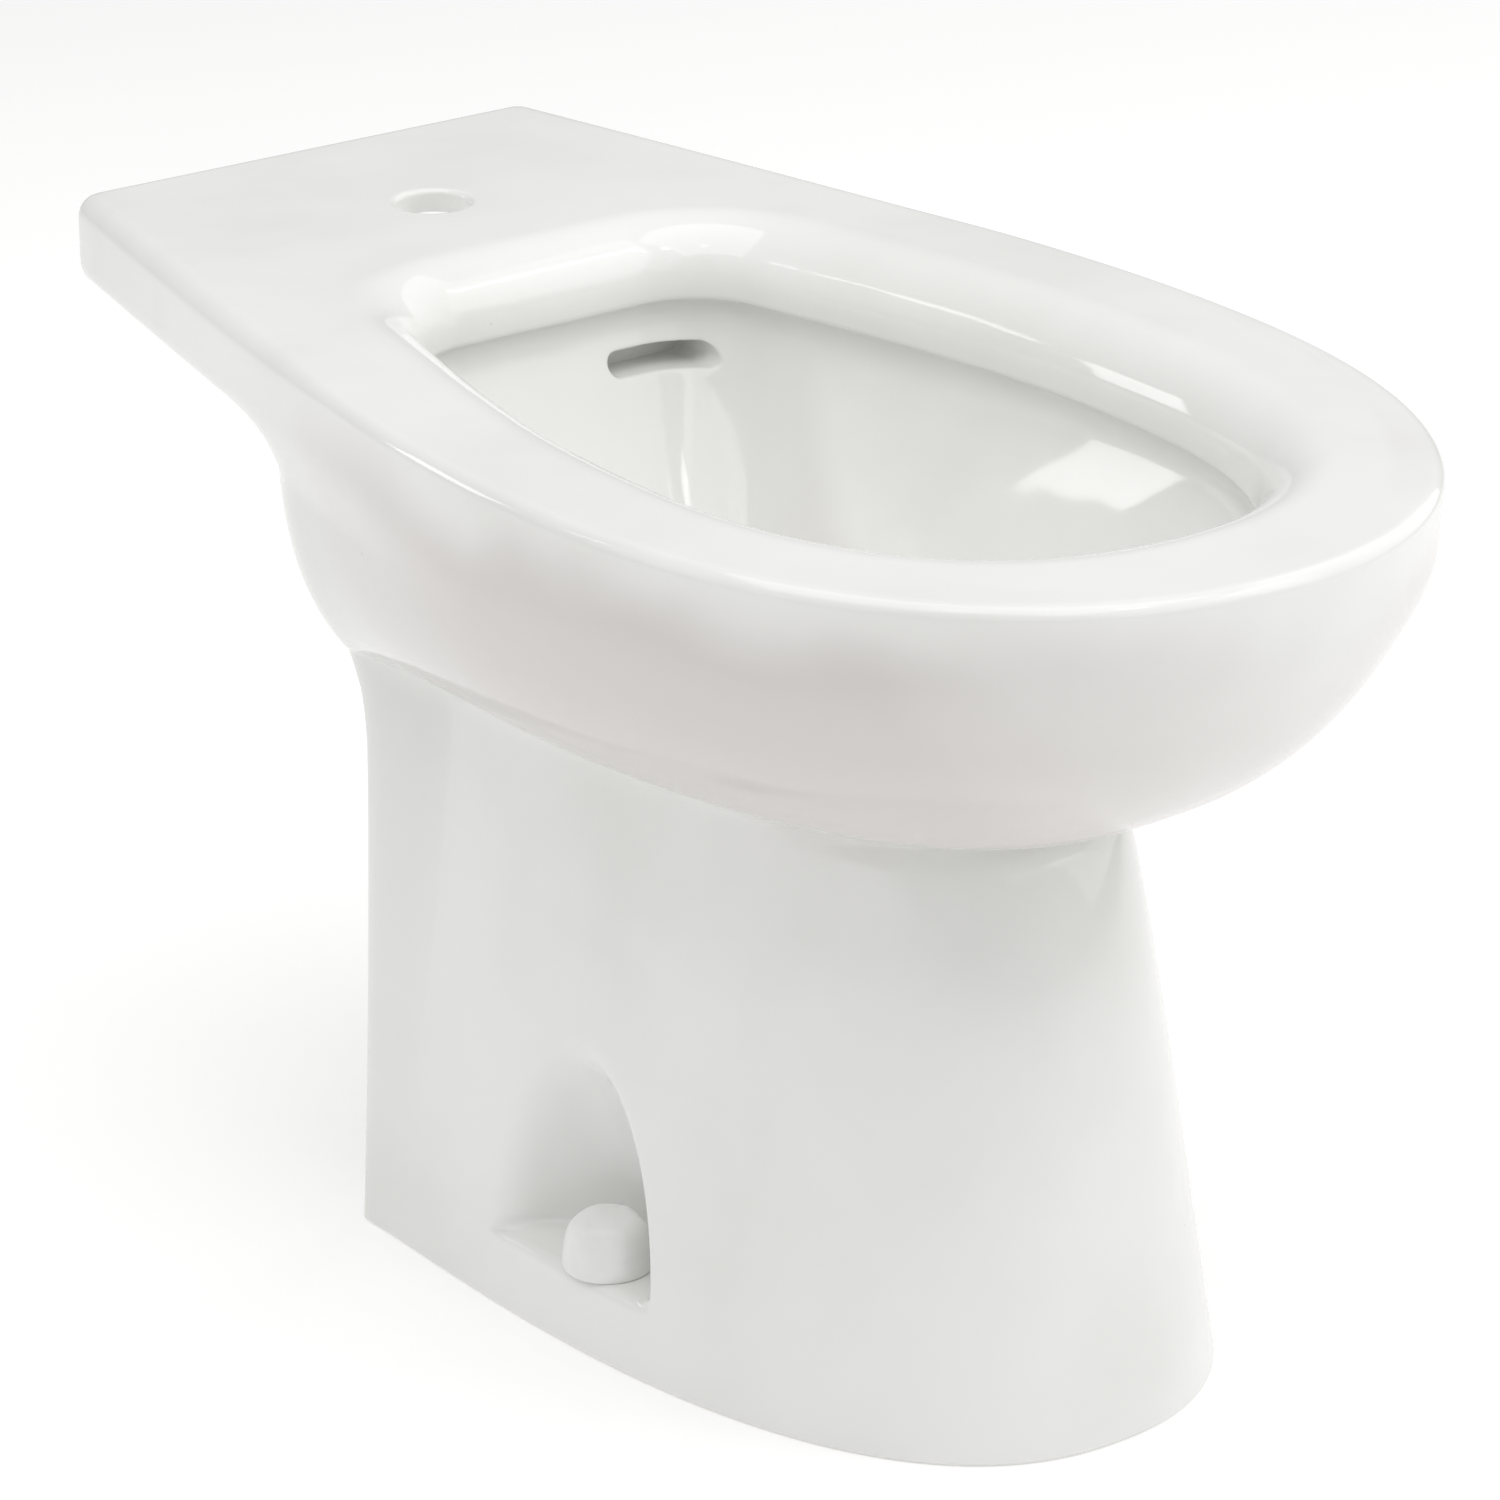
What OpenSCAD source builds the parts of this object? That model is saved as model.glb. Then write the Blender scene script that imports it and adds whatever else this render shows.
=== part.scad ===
// Floor standing bidet in white glazed china, with floor fixings and a push waste.
// Millimetres. The nose of the rim points to -Y, the wall side is +Y, the floor is z = 0.

/* [Body] */
// Length from the nose of the rim to the back edge of the deck
body_l = 642; // [600:1:690]
// Width across the widest part of the rim
body_w = 357; // [330:1:390]
// Height from the floor to the top of the rim
body_h = 380; // [350:1:420]
// Width of the deck at its back edge
deck_w = 228; // [200:1:250]
// Height of the side skirt round the deck
skirt_h = 35; // [30:0.5:45]
// Radius along the outer top edge
edge_r = 6; // [4:0.5:9]
// Radius along the outer top edge of the deck
deck_edge = 9; // [6:0.5:10]
// Height of the bulge from the pedestal up to the rim
bulge_h = 137; // [132:1:142]
// Thickness of the china walls
wall = 11; // [9:0.5:13]
// Thickness of the deck round the tap hole
deck_t = 10; // [8:0.5:14]

/* [Opening] */
// Length of the flat edge of the opening
open_l = 434; // [410:1:450]
// Width of the flat edge of the opening
open_w = 277; // [260:1:290]
// Radius of the roll from the rim down into the bowl
roll_r = 27; // [20:1:32]
// How far the bowl wall steps back under the roll
undercut = 6; // [3:0.5:9]
// Depth of the bowl from the rim to the waste seat
bowl_d = 173; // [160:1:185]

/* [Holes] */
// Diameter of the tap hole
tap_d = 31; // [28:0.5:36]
// Distance of the tap hole from the back edge
tap_back = 100; // [85:1:110]
// Rounding round the tap hole
tap_edge = 2.2; // [1:0.1:3]
// Diameter of the waste hole
waste_d = 46; // [44:0.5:50]
// Width of the overflow slot
slot_w = 48; // [40:1:54]
// Height of the overflow slot
slot_h = 10; // [8:0.5:12]
// Sideways place of the overflow slot
slot_x = 50; // [34:1:52]

/* [Floor fixing] */
// Distance between the two floor bolts
bolt_gap = 212; // [206:1:216]
// Diameter of the floor bolts
bolt_d = 8; // [6:0.5:10]
// Height of the ledge that the bolts hold
ledge_h = 30; // [24:1:34]
// Width of the niche over each bolt
niche_w = 90; // [80:1:96]
// Height of the niche above the ledge
niche_h = 101; // [90:1:106]
// Width across the cap over each bolt
cap_w = 37; // [34:0.5:40]
// Height of the cap
cap_h = 22; // [19:0.5:25]

/* [Waste] */
// Diameter of the waste flange
flange_d = 64; // [60:0.5:66]
// Outer diameter of the threaded waste body
thread_d = 41.6; // [40:0.1:42]
// Outer diameter of the tail pipe
tail_d = 32; // [30:0.5:32]
// Length of the threaded waste body below the seat
body_drop = 52; // [50:1:54]
// Depth of the end of the tail pipe below the seat
tail_drop = 140; // [136:1:146]
// How far the plug lifts to open
plug_lift = 8; // [5:0.5:10]

/* [Hidden] */
$fn = 72;
eps = 0.01;
half_l = body_l / 2;
half_w = body_w / 2;
// Heights measured down from the rim
crease_z = body_h - bulge_h;
skirt_z = body_h - skirt_h;
lip_z = body_h - roll_r - 3;
seat_z = body_h - bowl_d;
boss_t = 14;
boss_z = seat_z - boss_t;
waste_y = 10;
waste_r = waste_d / 2;
tap_y = half_l - tap_back;
// Steps round one half of every outline
n_nose = 13;
n_side = 8;
n_corner = 5;
n_rear = 4;
n_half = n_nose + n_side + n_corner + n_rear;
n_loop = 2 * n_half;
// Scales that keep the fitted curves in step with the named sizes
ky = body_l / 642;
kx = body_w / 357;
bolt_x = bolt_gap / 2;
bolt_y = -49 * ky;
niche_y = -54 * ky;
niche_top = ledge_h + niche_h;
niche_back = bolt_x - 26;
pod_in = niche_back - wall;
duct_fill = 18;
// Stack of the floor fixing, upwards from the ledge
stud_r = bolt_d / 2;
thread_in = stud_r - 0.25;
base_t = 2.4;
base_r = cap_w / 2 - 3.2;
base_rim = 6.5;
washer_t = 1.6;
nut_h = 0.8 * bolt_d;
nut_w = 1.625 * bolt_d;
washer_z = ledge_h + base_t;
nut_z = washer_z + washer_t;
stud_top = nut_z + nut_h + 3.5;
cap_wall = 2;
// Stack of the waste, downwards from the bowl seat
thread_r = thread_d / 2;
bore_r = thread_r - 3;
flange_r = flange_d / 2;
flange_z = seat_z + 2;
flange_t = 3.2;
plug_r = bore_r + 2.6;
plug_z = flange_z + 1.2;
body_low = seat_z - body_drop;
hub_r = 9;
guide_r = 7;
hub_low = seat_z - 32;
hub_h = 12;
guide_low = hub_low - 6;
guide_top = seat_z - 9;
stem_r = 4;
slide_gap = 0.06;
seal_t = 3;
slip_t = 1;
nut_t = 10;
slip_z = boss_z - seal_t - slip_t;
back_nut_z = slip_z - nut_t;
tail_r = tail_d / 2;
tail_top = body_low + 9;
tail_low = seat_z - tail_drop;
ring_t = 4;
tail_nut_r = thread_r + 4.4;
tail_nut_h = 18;

// Colours
china_c = [0.93, 0.93, 0.91];
cap_c = [0.95, 0.95, 0.94];
steel_c = [0.72, 0.73, 0.74];
chrome_c = [0.80, 0.82, 0.84];
rubber_c = [0.13, 0.13, 0.13];
nylon_c = [0.88, 0.87, 0.82];

// General curve helpers
function mix(a, b, t) = a + (b - a) * t;
function clamp01(t) = min(1, max(0, t));
function bezier(p0, p1, p2, p3, t) =
    p0 * pow(1 - t, 3) + p1 * 3 * t * pow(1 - t, 2) + p2 * 3 * t * t * (1 - t) + p3 * pow(t, 3);

// An outline is [nose y, widest y, half width, rear y, rear half width,
// nose power, side power, corner radius, side bend, rear bow]
function side_x(v, y) =
    let (s = (y - v[1]) / (v[3] - v[1]))
    let (e = v[8])
    v[2] - (v[2] - v[4]) * (sqrt(s * s + e * e) - e) / (sqrt(1 + e * e) - e);
function rear_y(v, x) =
    let (s = x / (v[4] - v[7]))
    v[3] + v[9] * pow(1 - pow(s, 4), 2);
function half_outline(v) =
    let (y_turn = v[3] - v[7])
    let (x_turn = side_x(v, y_turn))
    let (a = [x_turn, y_turn])
    let (c = [v[4], v[3]])
    let (b = [v[4] - v[7], v[3]])
    concat(
        [for (i = [0 : n_nose])
            let (t = 90 * i / n_nose)
            [v[2] * pow(sin(t), 2 / v[6]), v[1] - (v[1] - v[0]) * pow(cos(t), 2 / v[5])]],
        [for (i = [1 : n_side])
            let (y = mix(v[1], y_turn, i / n_side))
            [side_x(v, y), y]],
        [for (i = [1 : n_corner])
            bezier(a, mix(a, c, 0.56), mix(b, c, 0.56), b, i / n_corner)],
        [for (i = [1 : n_rear])
            let (x = (v[4] - v[7]) * (1 - i / n_rear))
            [x, rear_y(v, x)]]
    );
function outline(v) =
    let (h = half_outline(v))
    concat(h, [for (i = [n_half - 1 : -1 : 1]) [-h[i][0], h[i][1]]]);
// The deck runs on behind the bowl, so its columns are spaced to face those of the bowl
function deck_half(v) =
    let (h = half_outline(v))
    let (y_turn = v[3] - v[7])
    let (a = [side_x(v, y_turn), y_turn])
    let (c = [v[4], v[3]])
    let (b = [v[4] - v[7], v[3]])
    let (meet = bowl_v[3] - bowl_v[7])
    concat(
        [for (i = [0 : n_nose]) h[i]],
        [for (i = [1 : n_side])
            let (y = mix(v[1], meet, i / n_side))
            [side_x(v, y), y]],
        [for (i = [1 : n_corner])
            let (y = mix(meet, y_turn, i / n_corner))
            [side_x(v, y), y]],
        [bezier(a, mix(a, c, 0.56), mix(b, c, 0.56), b, 0.5)],
        [for (i = [2 : n_rear]) [b[0] * (n_rear - i) / (n_rear - 2), v[3]]]
    );
function deck_outline(v) =
    let (h = deck_half(v))
    concat(h, [for (i = [n_half - 1 : -1 : 1]) [-h[i][0], h[i][1]]]);
function circle_loop(r, yc) =
    [for (i = [0 : n_loop - 1]) [r * sin(360 * i / n_loop), yc - r * cos(360 * i / n_loop)]];
function raise(loop, z) = [for (p = loop) [p[0], p[1], z]];
// Moves every edge of an outline inwards by d
function inset(v, d) =
    [v[0] + d, v[1], v[2] - d, v[3] - d, v[4] - d, v[5], v[6], max(v[7] - d, 4), v[8], v[9]];

// Fitted outlines of the body, from the floor up
foot_v = [-240.5 * ky, 67 * ky, 131 * kx, 94.5 * ky, 131.7 * kx, 2.8, 2.28, 8, 0.25, 6];
neck_v = [-182 * ky, 66 * ky, 95 * kx, 109 * ky, 119 * kx, 2, 2.6, 12, 0.25, 14];
bowl_v = [-half_l, -73 * ky, half_w, 160 * ky, 141 * kx, 2.35, 2.1, 66, 0.25, 24];
deck_v = [-half_l, -73 * ky, half_w, half_l, deck_w / 2, 2.35, 2.1, 9, 0.335, 0];
// How far the pedestal flares out under the bowl, in the same order
flare_v = [0, 0, 5 * kx, 6 * ky, 6 * kx, 0, 0, 0, 0, 0];
flare_h = 50;
roll_v = [(161 - open_l) * ky, -80 * ky, open_w / 2, 161 * ky, 100 * kx, 2.6, 2.2, 55, 0.5, 0];

// Outline of the outer skin at height z, up to the underside of the deck
function foot_at(z) =
    let (t = clamp01(z / crease_z))
    let (lean = 1 - pow(1 - t, 0.42))
    let (side = 1 - pow(1 - t, 1.35))
    let (spread = pow(clamp01((z - crease_z + flare_h) / flare_h), 2.5))
    [for (k = [0 : 9])
        mix(foot_v[k], neck_v[k], k == 0 ? lean : k == 2 || k == 4 ? side : t) + flare_v[k] * spread];
function bulge_at(z) =
    let (s = clamp01((z - crease_z) / (body_h - 12 - crease_z)))
    let (out = pow(1 - pow(1 - s, 1.65), 1 / 2.02))
    let (back = pow(1 - pow(1 - s, 4.6), 1 / 0.95))
    [for (k = [0 : 9])
        let (start = neck_v[k] + (k == 2 ? 0 : flare_v[k]))
        let (own = mix(start, bowl_v[k], k == 3 || k == 4 || k == 7 || k == 9 ? back : out))
        flare_v[k] > 0 ? max(own, neck_v[k] + flare_v[k]) : own];
function skin_at(z) = z < crease_z ? foot_at(z) : bulge_at(z);
// The deck outline near its lower edge keeps the bulge at the front and sides
function skirt_at(z, d) =
    let (b = bulge_at(z))
    let (v = inset(deck_v, d))
    [min(v[0], b[0]) + max(0, b[0] - v[0]), v[1], min(v[2], b[2]), v[3], v[4], v[5], v[6], v[7], v[8], 0];
// Outline of the inside of the wall, clear of both the side and the slope of the bulge
function inner_at(z) =
    let (thin = 3 * clamp01(1 - abs(z - crease_z - 5) / 25))
    inset(skin_at(z <= crease_z ? z : max(z - 9, crease_z)), wall - thin);

// The bowl narrows from the roll to a round seat
function bowl_grip(u) = pow(1 - pow(u, 1.35), 1.15);
function bowl_loop(u, d) =
    let (g = bowl_grip(u))
    let (rim = outline(inset(roll_v, roll_r - undercut - d)))
    let (seat = circle_loop(35 + d, waste_y))
    [for (i = [0 : n_loop - 1]) mix(seat[i], rim[i], g)];
function bowl_z(u) = mix(lip_z - 5, seat_z, u);

// Middle of the overflow duct, moving from the slot to the waste hole
function duct_x(u) = mix(slot_x - 8, 3, pow(u, 0.8));
// Thickening under the bowl that carries the overflow duct
function duct_bump(p, u) =
    let (a = clamp01(1 - pow(abs(p[0] - duct_x(u)) / 30, 4)))
    let (fade = 1 - pow(u, 4))
    p[1] > waste_y + 15 ? duct_fill * sqrt(a) * fade * clamp01((p[1] - waste_y - 15) / 25) : 0;
// The hollow under the rim is filled behind the overflow slot
function fill_slot(p) =
    let (a = clamp01(1 - pow(abs(p[0] - slot_x) / 62, 4)))
    let (b = clamp01((p[1] - 82 * ky) / 22))
    let (low = body_h - 86)
    [p[0], p[1], p[2] > low ? mix(p[2], low + (p[2] - low) * 0.15, a * b) : p[2]];
// Thickening of the side walls round each niche
function pod(p) =
    let (a = clamp01(1 - pow(abs(p[1] - niche_y) / (niche_w / 2 + wall + 6), 4)))
    let (b = clamp01(1 - pow(p[2] / (niche_top + 2 * wall), 4)))
    let (reach = max(0, abs(p[0]) - pod_in))
    let (dx = abs(p[0]) > 40 ? reach * sqrt(a * b) : 0)
    [p[0] - sign(p[0]) * dx, p[1], p[2]];

foot_steps = [0, 0.125, 0.25, 0.375, 0.5, 0.64, 0.76, 0.86, 0.93, 1];
bulge_steps = [0.05, 0.11, 0.19, 0.29, 0.4, 0.52, 0.66, 0.78];
fillet_steps = [0.35, 0.68];
round_steps = [18, 36, 54, 72, 90];
roll_steps = [15, 32, 48, 63, 77, 90];
bowl_steps = [0.08, 0.2, 0.33, 0.46, 0.58, 0.69, 0.79, 0.87, 0.94, 1];

// Quadratic arc between two loops, with a third at the corner
function arc_loop(a, corner, b, t) =
    [for (i = [0 : len(a) - 1]) a[i] * pow(1 - t, 2) + corner[i] * 2 * t * (1 - t) + b[i] * t * t];
crease_low = raise(outline(foot_at(crease_z - 9)), crease_z - 9);
crease_mid = raise(outline(foot_at(crease_z)), crease_z);
crease_high = raise(outline(bulge_at(crease_z + 1)), crease_z + 1);

// The lower edge of the deck's skirt, which fades out where the deck meets the bowl
skirt_a = raise(outline(bulge_at(skirt_z - 26)), skirt_z - 26);
skirt_lead = raise(outline(bulge_at(skirt_z - 31)), skirt_z - 31);
skirt_b = raise(outline(bulge_at(skirt_z)), skirt_z);
skirt_c = raise(deck_outline(skirt_at(skirt_z, 0)), skirt_z);
skirt_d = raise(deck_outline(skirt_at(skirt_z + 10, 0)), skirt_z + 10);
function towards(p, q, d) = norm(q - p) < 0.01 ? p : p + (q - p) / norm(q - p) * min(d, norm(q - p));
function hermite(p, m, q, n, t) =
    p * (2 * pow(t, 3) - 3 * t * t + 1) + m * (pow(t, 3) - 2 * t * t + t)
    + q * (3 * t * t - 2 * pow(t, 3)) + n * (pow(t, 3) - t * t);
// Rows: 0 for the arc under the deck or 1 for its edge, place on that arc, place on the soft line
skirt_rows = [
    [0, 0, 0.1], [0, 0.5, 0.28], [0, 1, 0.45],
    [1, 0, 0.6], [1, 0.35, 0.7], [1, 0.7, 0.8], [1, 1, 0.9]
];
function skirt_point(i, row) =
    let (gap = norm(skirt_c[i] - skirt_b[i]))
    let (k = clamp01(1 - (gap - 8) / 26))
    let (soft = k * k * (3 - 2 * k))
    let (turn = min(20, 0.45 * gap, max(12, 32 - 0.2 * gap)))
    let (corner = row[0] == 0 ? skirt_b[i] : skirt_c[i])
    let (tight = min(7, 0.45 * gap))
    let (from = row[0] == 0 ? towards(corner, skirt_a[i], turn) : towards(corner, skirt_b[i], tight))
    let (to = row[0] == 0 ? towards(corner, skirt_c[i], turn) : towards(corner, skirt_d[i], tight + 0.5))
    let (t = row[1])
    let (edge = from * pow(1 - t, 2) + corner * 2 * t * (1 - t) + to * t * t)
    let (lead = (skirt_a[i] - skirt_lead[i]) * 36 / 5)
    let (plain = hermite(skirt_a[i], lead, skirt_d[i], [0, 0, 36], row[2]))
    mix(edge, plain, soft);

// The top edge is tighter along the rim than round the deck
function edge_share(i) =
    let (j = i <= n_half ? i : n_loop - i)
    let (k = clamp01((j / n_half - 0.6) / 0.15))
    k * k * (3 - 2 * k);
function edge_loop(a) =
    let (rim = deck_outline(inset(deck_v, edge_r * (1 - cos(a)))))
    let (back = deck_outline(inset(deck_v, deck_edge * (1 - cos(a)))))
    [for (i = [0 : n_loop - 1])
        let (k = edge_share(i))
        let (p = mix(rim[i], back[i], k))
        [p[0], p[1], body_h - mix(edge_r, deck_edge, k) * (1 - sin(a))]];

outer_loops = concat(
    [raise(outline(inset(foot_at(0), 1.5)), 0)],
    [for (i = [0 : len(foot_steps) - 2])
        let (z = max(1.5, foot_steps[i] * crease_z))
        raise(outline(foot_at(z)), z)],
    [crease_low],
    [for (t = fillet_steps) arc_loop(crease_low, crease_mid, crease_high, t)],
    [crease_high],
    [for (s = bulge_steps)
        let (z = mix(crease_z, skirt_z - 26, s / 0.78))
        raise(outline(bulge_at(z)), z)],
    [for (row = skirt_rows) [for (i = [0 : n_loop - 1]) skirt_point(i, row)]],
    [skirt_d],
    [for (a = concat([0], round_steps)) edge_loop(a)]
);
roll_loops = concat(
    [raise(outline(roll_v), body_h)],
    [for (a = roll_steps)
        raise(outline(inset(roll_v, roll_r * sin(a))), body_h - roll_r * (1 - cos(a)))],
    [raise(outline(inset(roll_v, roll_r - 1)), lip_z)],
    [raise(outline(inset(roll_v, roll_r - undercut)), lip_z - 3)]
);
bowl_loops = concat(
    [for (u = bowl_steps) raise(bowl_loop(u, 0), bowl_z(u))],
    [raise(circle_loop(15, waste_y), seat_z)],
    [raise(circle_loop(15, waste_y), boss_z)]
);
under_steps = [1, 0.9, 0.8, 0.68, 0.54, 0.4, 0.25, 0.1];
under_loops = [for (u = under_steps)
    let (z = bowl_z(u) - boss_t * pow(u, 2))
    let (d = mix(wall - 1, 4, u))
    [for (p = bowl_loop(u, d)) fill_slot([p[0], p[1] + duct_bump(p, u), z])]];
roof_loops = [
    [for (p = outline(inset(roll_v, 13))) fill_slot([p[0], p[1], body_h - 19])],
    [for (p = outline(inset(bulge_at(body_h - 20), wall + 4))) fill_slot([p[0], p[1], body_h - 15])]
];
inner_steps = [0.86, 0.66, 0.48, 0.3, 0.14, 0.02];
inner_loops = concat(
    [for (s = inner_steps)
        let (z = mix(crease_z, body_h - 12, s))
        [for (p = outline(inner_at(z))) fill_slot([p[0], p[1], z])]],
    [for (i = [len(foot_steps) - 1 : -1 : 1])
        let (z = foot_steps[i] * crease_z)
        [for (p = outline(inner_at(z))) pod([p[0], p[1], z])]],
    [[for (p = outline(inner_at(0))) pod([p[0], p[1], 0])]]
);
shell_loops = concat(outer_loops, roll_loops, bowl_loops, under_loops, roof_loops, inner_loops);

// Skins a list of loops that closes on itself
module ring_skin(loops) {
    rows = len(loops);
    cols = len(loops[0]);
    points = [for (l = loops) for (p = l) p];
    faces = [for (i = [0 : rows - 1]) for (j = [0 : cols - 1])
        let (a = i * cols + j)
        let (b = i * cols + (j + 1) % cols)
        let (c = ((i + 1) % rows) * cols + (j + 1) % cols)
        let (d = ((i + 1) % rows) * cols + j)
        for (f = [[a, d, c], [a, c, b]]) f];
    polyhedron(points = points, faces = faces, convexity = 12);
}

// Skins a stack of loops closed by a flat face at each end
module stack_skin(loops) {
    rows = len(loops);
    cols = len(loops[0]);
    points = [for (l = loops) for (p = l) p];
    sides = [for (i = [0 : rows - 2]) for (j = [0 : cols - 1])
        let (a = i * cols + j)
        let (b = i * cols + (j + 1) % cols)
        let (c = (i + 1) * cols + (j + 1) % cols)
        let (d = (i + 1) * cols + j)
        for (f = [[a, d, c], [a, c, b]]) f];
    low = [[for (j = [0 : cols - 1]) j]];
    high = [[for (j = [cols - 1 : -1 : 0]) (rows - 1) * cols + j]];
    polyhedron(points = points, faces = concat(sides, low, high), convexity = 4);
}

// Arched hollow over a floor bolt, with a flat ledge
niche_steps = [0, 0.22, 0.42, 0.6, 0.75, 0.87, 0.95, 0.99];
function niche_loop(t) =
    let (k = sqrt(1 - t * t))
    let (depth = half_w * 0.74 + 16 - niche_back)
    let (x_mid = half_w * 0.74 + 16)
    let (z = ledge_h + niche_h * t)
    [for (i = [0 : 31])
        let (a = 360 * i / 32)
        [x_mid + depth * k * sin(a), niche_y - niche_w / 2 * k * cos(a), z]];
module niche_cut() {
    stack_skin([for (t = niche_steps) niche_loop(t)]);
}

// Slot in the bowl and the duct that leads from it to the waste hole
slot_z = body_h - 55;
function slot_loop(y) =
    [for (i = [0 : 23])
        let (a = 15 * i + 7.5)
        let (side = cos(a) > 0 ? 1 : -1)
        [slot_x + side * (slot_w - slot_h) / 2 + slot_h / 2 * cos(a), y, slot_z + slot_h / 2 * sin(a)]];
module slot_cut() {
    stack_skin([for (y = [148, 140, 110]) slot_loop(y * ky)]);
}
// The duct follows the back of the bowl at the depth of the thickening
function duct_point(u) =
    let (r = bowl_loop(u, 0)[n_half][1])
    let (d = mix(wall - 1, 4, u) + duct_fill * (1 - pow(u, 4)))
    [duct_x(u), r + d / 2, bowl_z(u) - boss_t * pow(u, 2) * 0.46];
duct_steps = [0.14, 0.22, 0.32, 0.44, 0.56, 0.68, 0.8, 0.9];
duct_path = concat([for (u = duct_steps) duct_point(u)], [[2, waste_y + 14, mix(boss_z, seat_z, 0.5)]]);
function duct_loop(i) =
    let (p = duct_path[i])
    let (a = duct_path[max(0, i - 1)])
    let (b = duct_path[min(len(duct_path) - 1, i + 1)])
    let (t = (b - a) / norm(b - a))
    let (u = cross([1, 0, 0], t) / norm(cross([1, 0, 0], t)))
    let (w = cross(t, u))
    [for (k = [0 : 11]) p + 9 * cos(30 * k + 7) * w - 4.5 * sin(30 * k + 7) * u];
module duct_cut() {
    stack_skin([for (i = [0 : len(duct_path) - 1]) duct_loop(i)]);
}

// Hollow beneath the deck, open downwards
module deck_pocket() {
    v = inset(deck_v, wall);
    y0 = 198 * ky;
    y1 = v[3];
    c = 18;
    right = [
        [side_x(v, y0), y0],
        [side_x(v, y1 - c), y1 - c],
        [side_x(v, y1) - c * 0.3, y1 - c * 0.3],
        [side_x(v, y1) - c, y1]
    ];
    left = [for (i = [3 : -1 : 0]) [-right[i][0], right[i][1]]];
    translate([0, 0, skirt_z - 20])
        linear_extrude(height = skirt_h - deck_t + 20)
            polygon(concat(right, left));
}

// Opening in the back of the pedestal for the pipes
module back_opening() {
    w = 2 * (inset(neck_v, wall)[4] - 12);
    top = crease_z - 30;
    r = 34;
    translate([0, 150 * ky, 0])
        rotate([90, 0, 0])
            linear_extrude(height = 90 * ky)
                union() {
                    translate([-w / 2, -5])
                        square([w, top - r + 5]);
                    translate([-w / 2 + r, 0])
                        square([w - 2 * r, top]);
                    translate([-w / 2 + r, top - r])
                        circle(r = r);
                    translate([w / 2 - r, top - r])
                        circle(r = r);
                }
}

module china_body() {
    color(china_c)
        difference() {
            ring_skin(shell_loops);
            translate([0, tap_y, body_h - deck_t - 5])
                cylinder(d = tap_d, h = deck_t + 10);
            translate([0, tap_y, body_h - tap_edge])
                cylinder(d1 = tap_d, d2 = tap_d + 2 * (tap_edge + 1), h = tap_edge + 1);
            translate([0, waste_y, boss_z - 5])
                cylinder(d = waste_d, h = boss_t + 10);
            deck_pocket();
            back_opening();
            niche_cut();
            mirror([1, 0, 0])
                niche_cut();
            slot_cut();
            duct_cut();
            for (s = [-1, 1])
                translate([s * bolt_x, bolt_y, -5])
                    cylinder(d = bolt_d + 3, h = ledge_h + 10);
        }
}

// Cap that hides the floor nut: round below, turning to a soft hexagon with a rounded crown.
// Rows: share of the height, share of the radius, how strongly the flats show
cap_rows = [
    [0, 0.975, 0.2], [0.03, 1, 0.25], [0.22, 0.99, 0.45], [0.42, 0.955, 0.6], [0.58, 0.91, 0.65],
    [0.72, 0.835, 0.6], [0.84, 0.725, 0.5], [0.93, 0.58, 0.35], [0.98, 0.43, 0.2], [1, 0.28, 0.1]
];
function cap_loop(row) =
    [for (i = [0 : 35])
        let (flat = min(cos(30) / cos(10 * i % 60 - 30), 0.955) / 0.955)
        let (r = cap_w / 2 * row[1] * mix(1, flat, row[2]))
        [r * sin(10 * i), -r * cos(10 * i), cap_h * row[0]]];
module bolt_cap(s) {
    low = base_t + base_rim + 0.4;
    color(cap_c)
        translate([s * bolt_x, bolt_y, ledge_h])
            difference() {
                rotate([0, 0, s * 12])
                    stack_skin([for (row = cap_rows) cap_loop(row)]);
                translate([0, 0, -1])
                    cylinder(r = base_r + 0.35, h = low + 1.1);
                translate([0, 0, low])
                    cylinder(r1 = base_r + 0.35, r2 = cap_w * 0.21, h = cap_h - cap_wall - 0.6 - low);
            }
}
module bolt_cap_left() { bolt_cap(-1); }
module bolt_cap_right() { bolt_cap(1); }

// Ring under the nut that the cap is pressed over
module cap_base(s) {
    color(nylon_c)
        translate([s * bolt_x, bolt_y, ledge_h])
            difference() {
                cylinder(r = base_r, h = base_t + base_rim);
                translate([0, 0, base_t])
                    cylinder(r = base_r - 1.8, h = base_rim + 1);
                translate([0, 0, -1])
                    cylinder(r = stud_r + 0.4, h = base_t + 2);
            }
}
module cap_base_left() { cap_base(-1); }
module cap_base_right() { cap_base(1); }

module floor_washer(s) {
    color(steel_c)
        translate([s * bolt_x, bolt_y, washer_z])
            difference() {
                cylinder(r = base_r - 3, h = washer_t);
                translate([0, 0, -1])
                    cylinder(r = stud_r + 0.4, h = washer_t + 2);
            }
}
module floor_washer_left() { floor_washer(-1); }
module floor_washer_right() { floor_washer(1); }

// Hexagon nut with chamfered corners
module hex_nut(across, h, hole_r) {
    corner = across / sqrt(3);
    chamfer = across * 0.06;
    difference() {
        intersection() {
            cylinder(r = corner, h = h, $fn = 6);
            rotate_extrude()
                polygon([
                    [0, 0], [corner - chamfer, 0], [corner, chamfer * 0.6],
                    [corner, h - chamfer * 0.6], [corner - chamfer, h], [0, h]
                ]);
        }
        translate([0, 0, -1])
            cylinder(r = hole_r, h = h + 2);
    }
}
module floor_nut(s) {
    color(steel_c)
        translate([s * bolt_x, bolt_y, nut_z])
            hex_nut(nut_w, nut_h, thread_in - 0.05);
}
module floor_nut_left() { floor_nut(-1); }
module floor_nut_right() { floor_nut(1); }

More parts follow.
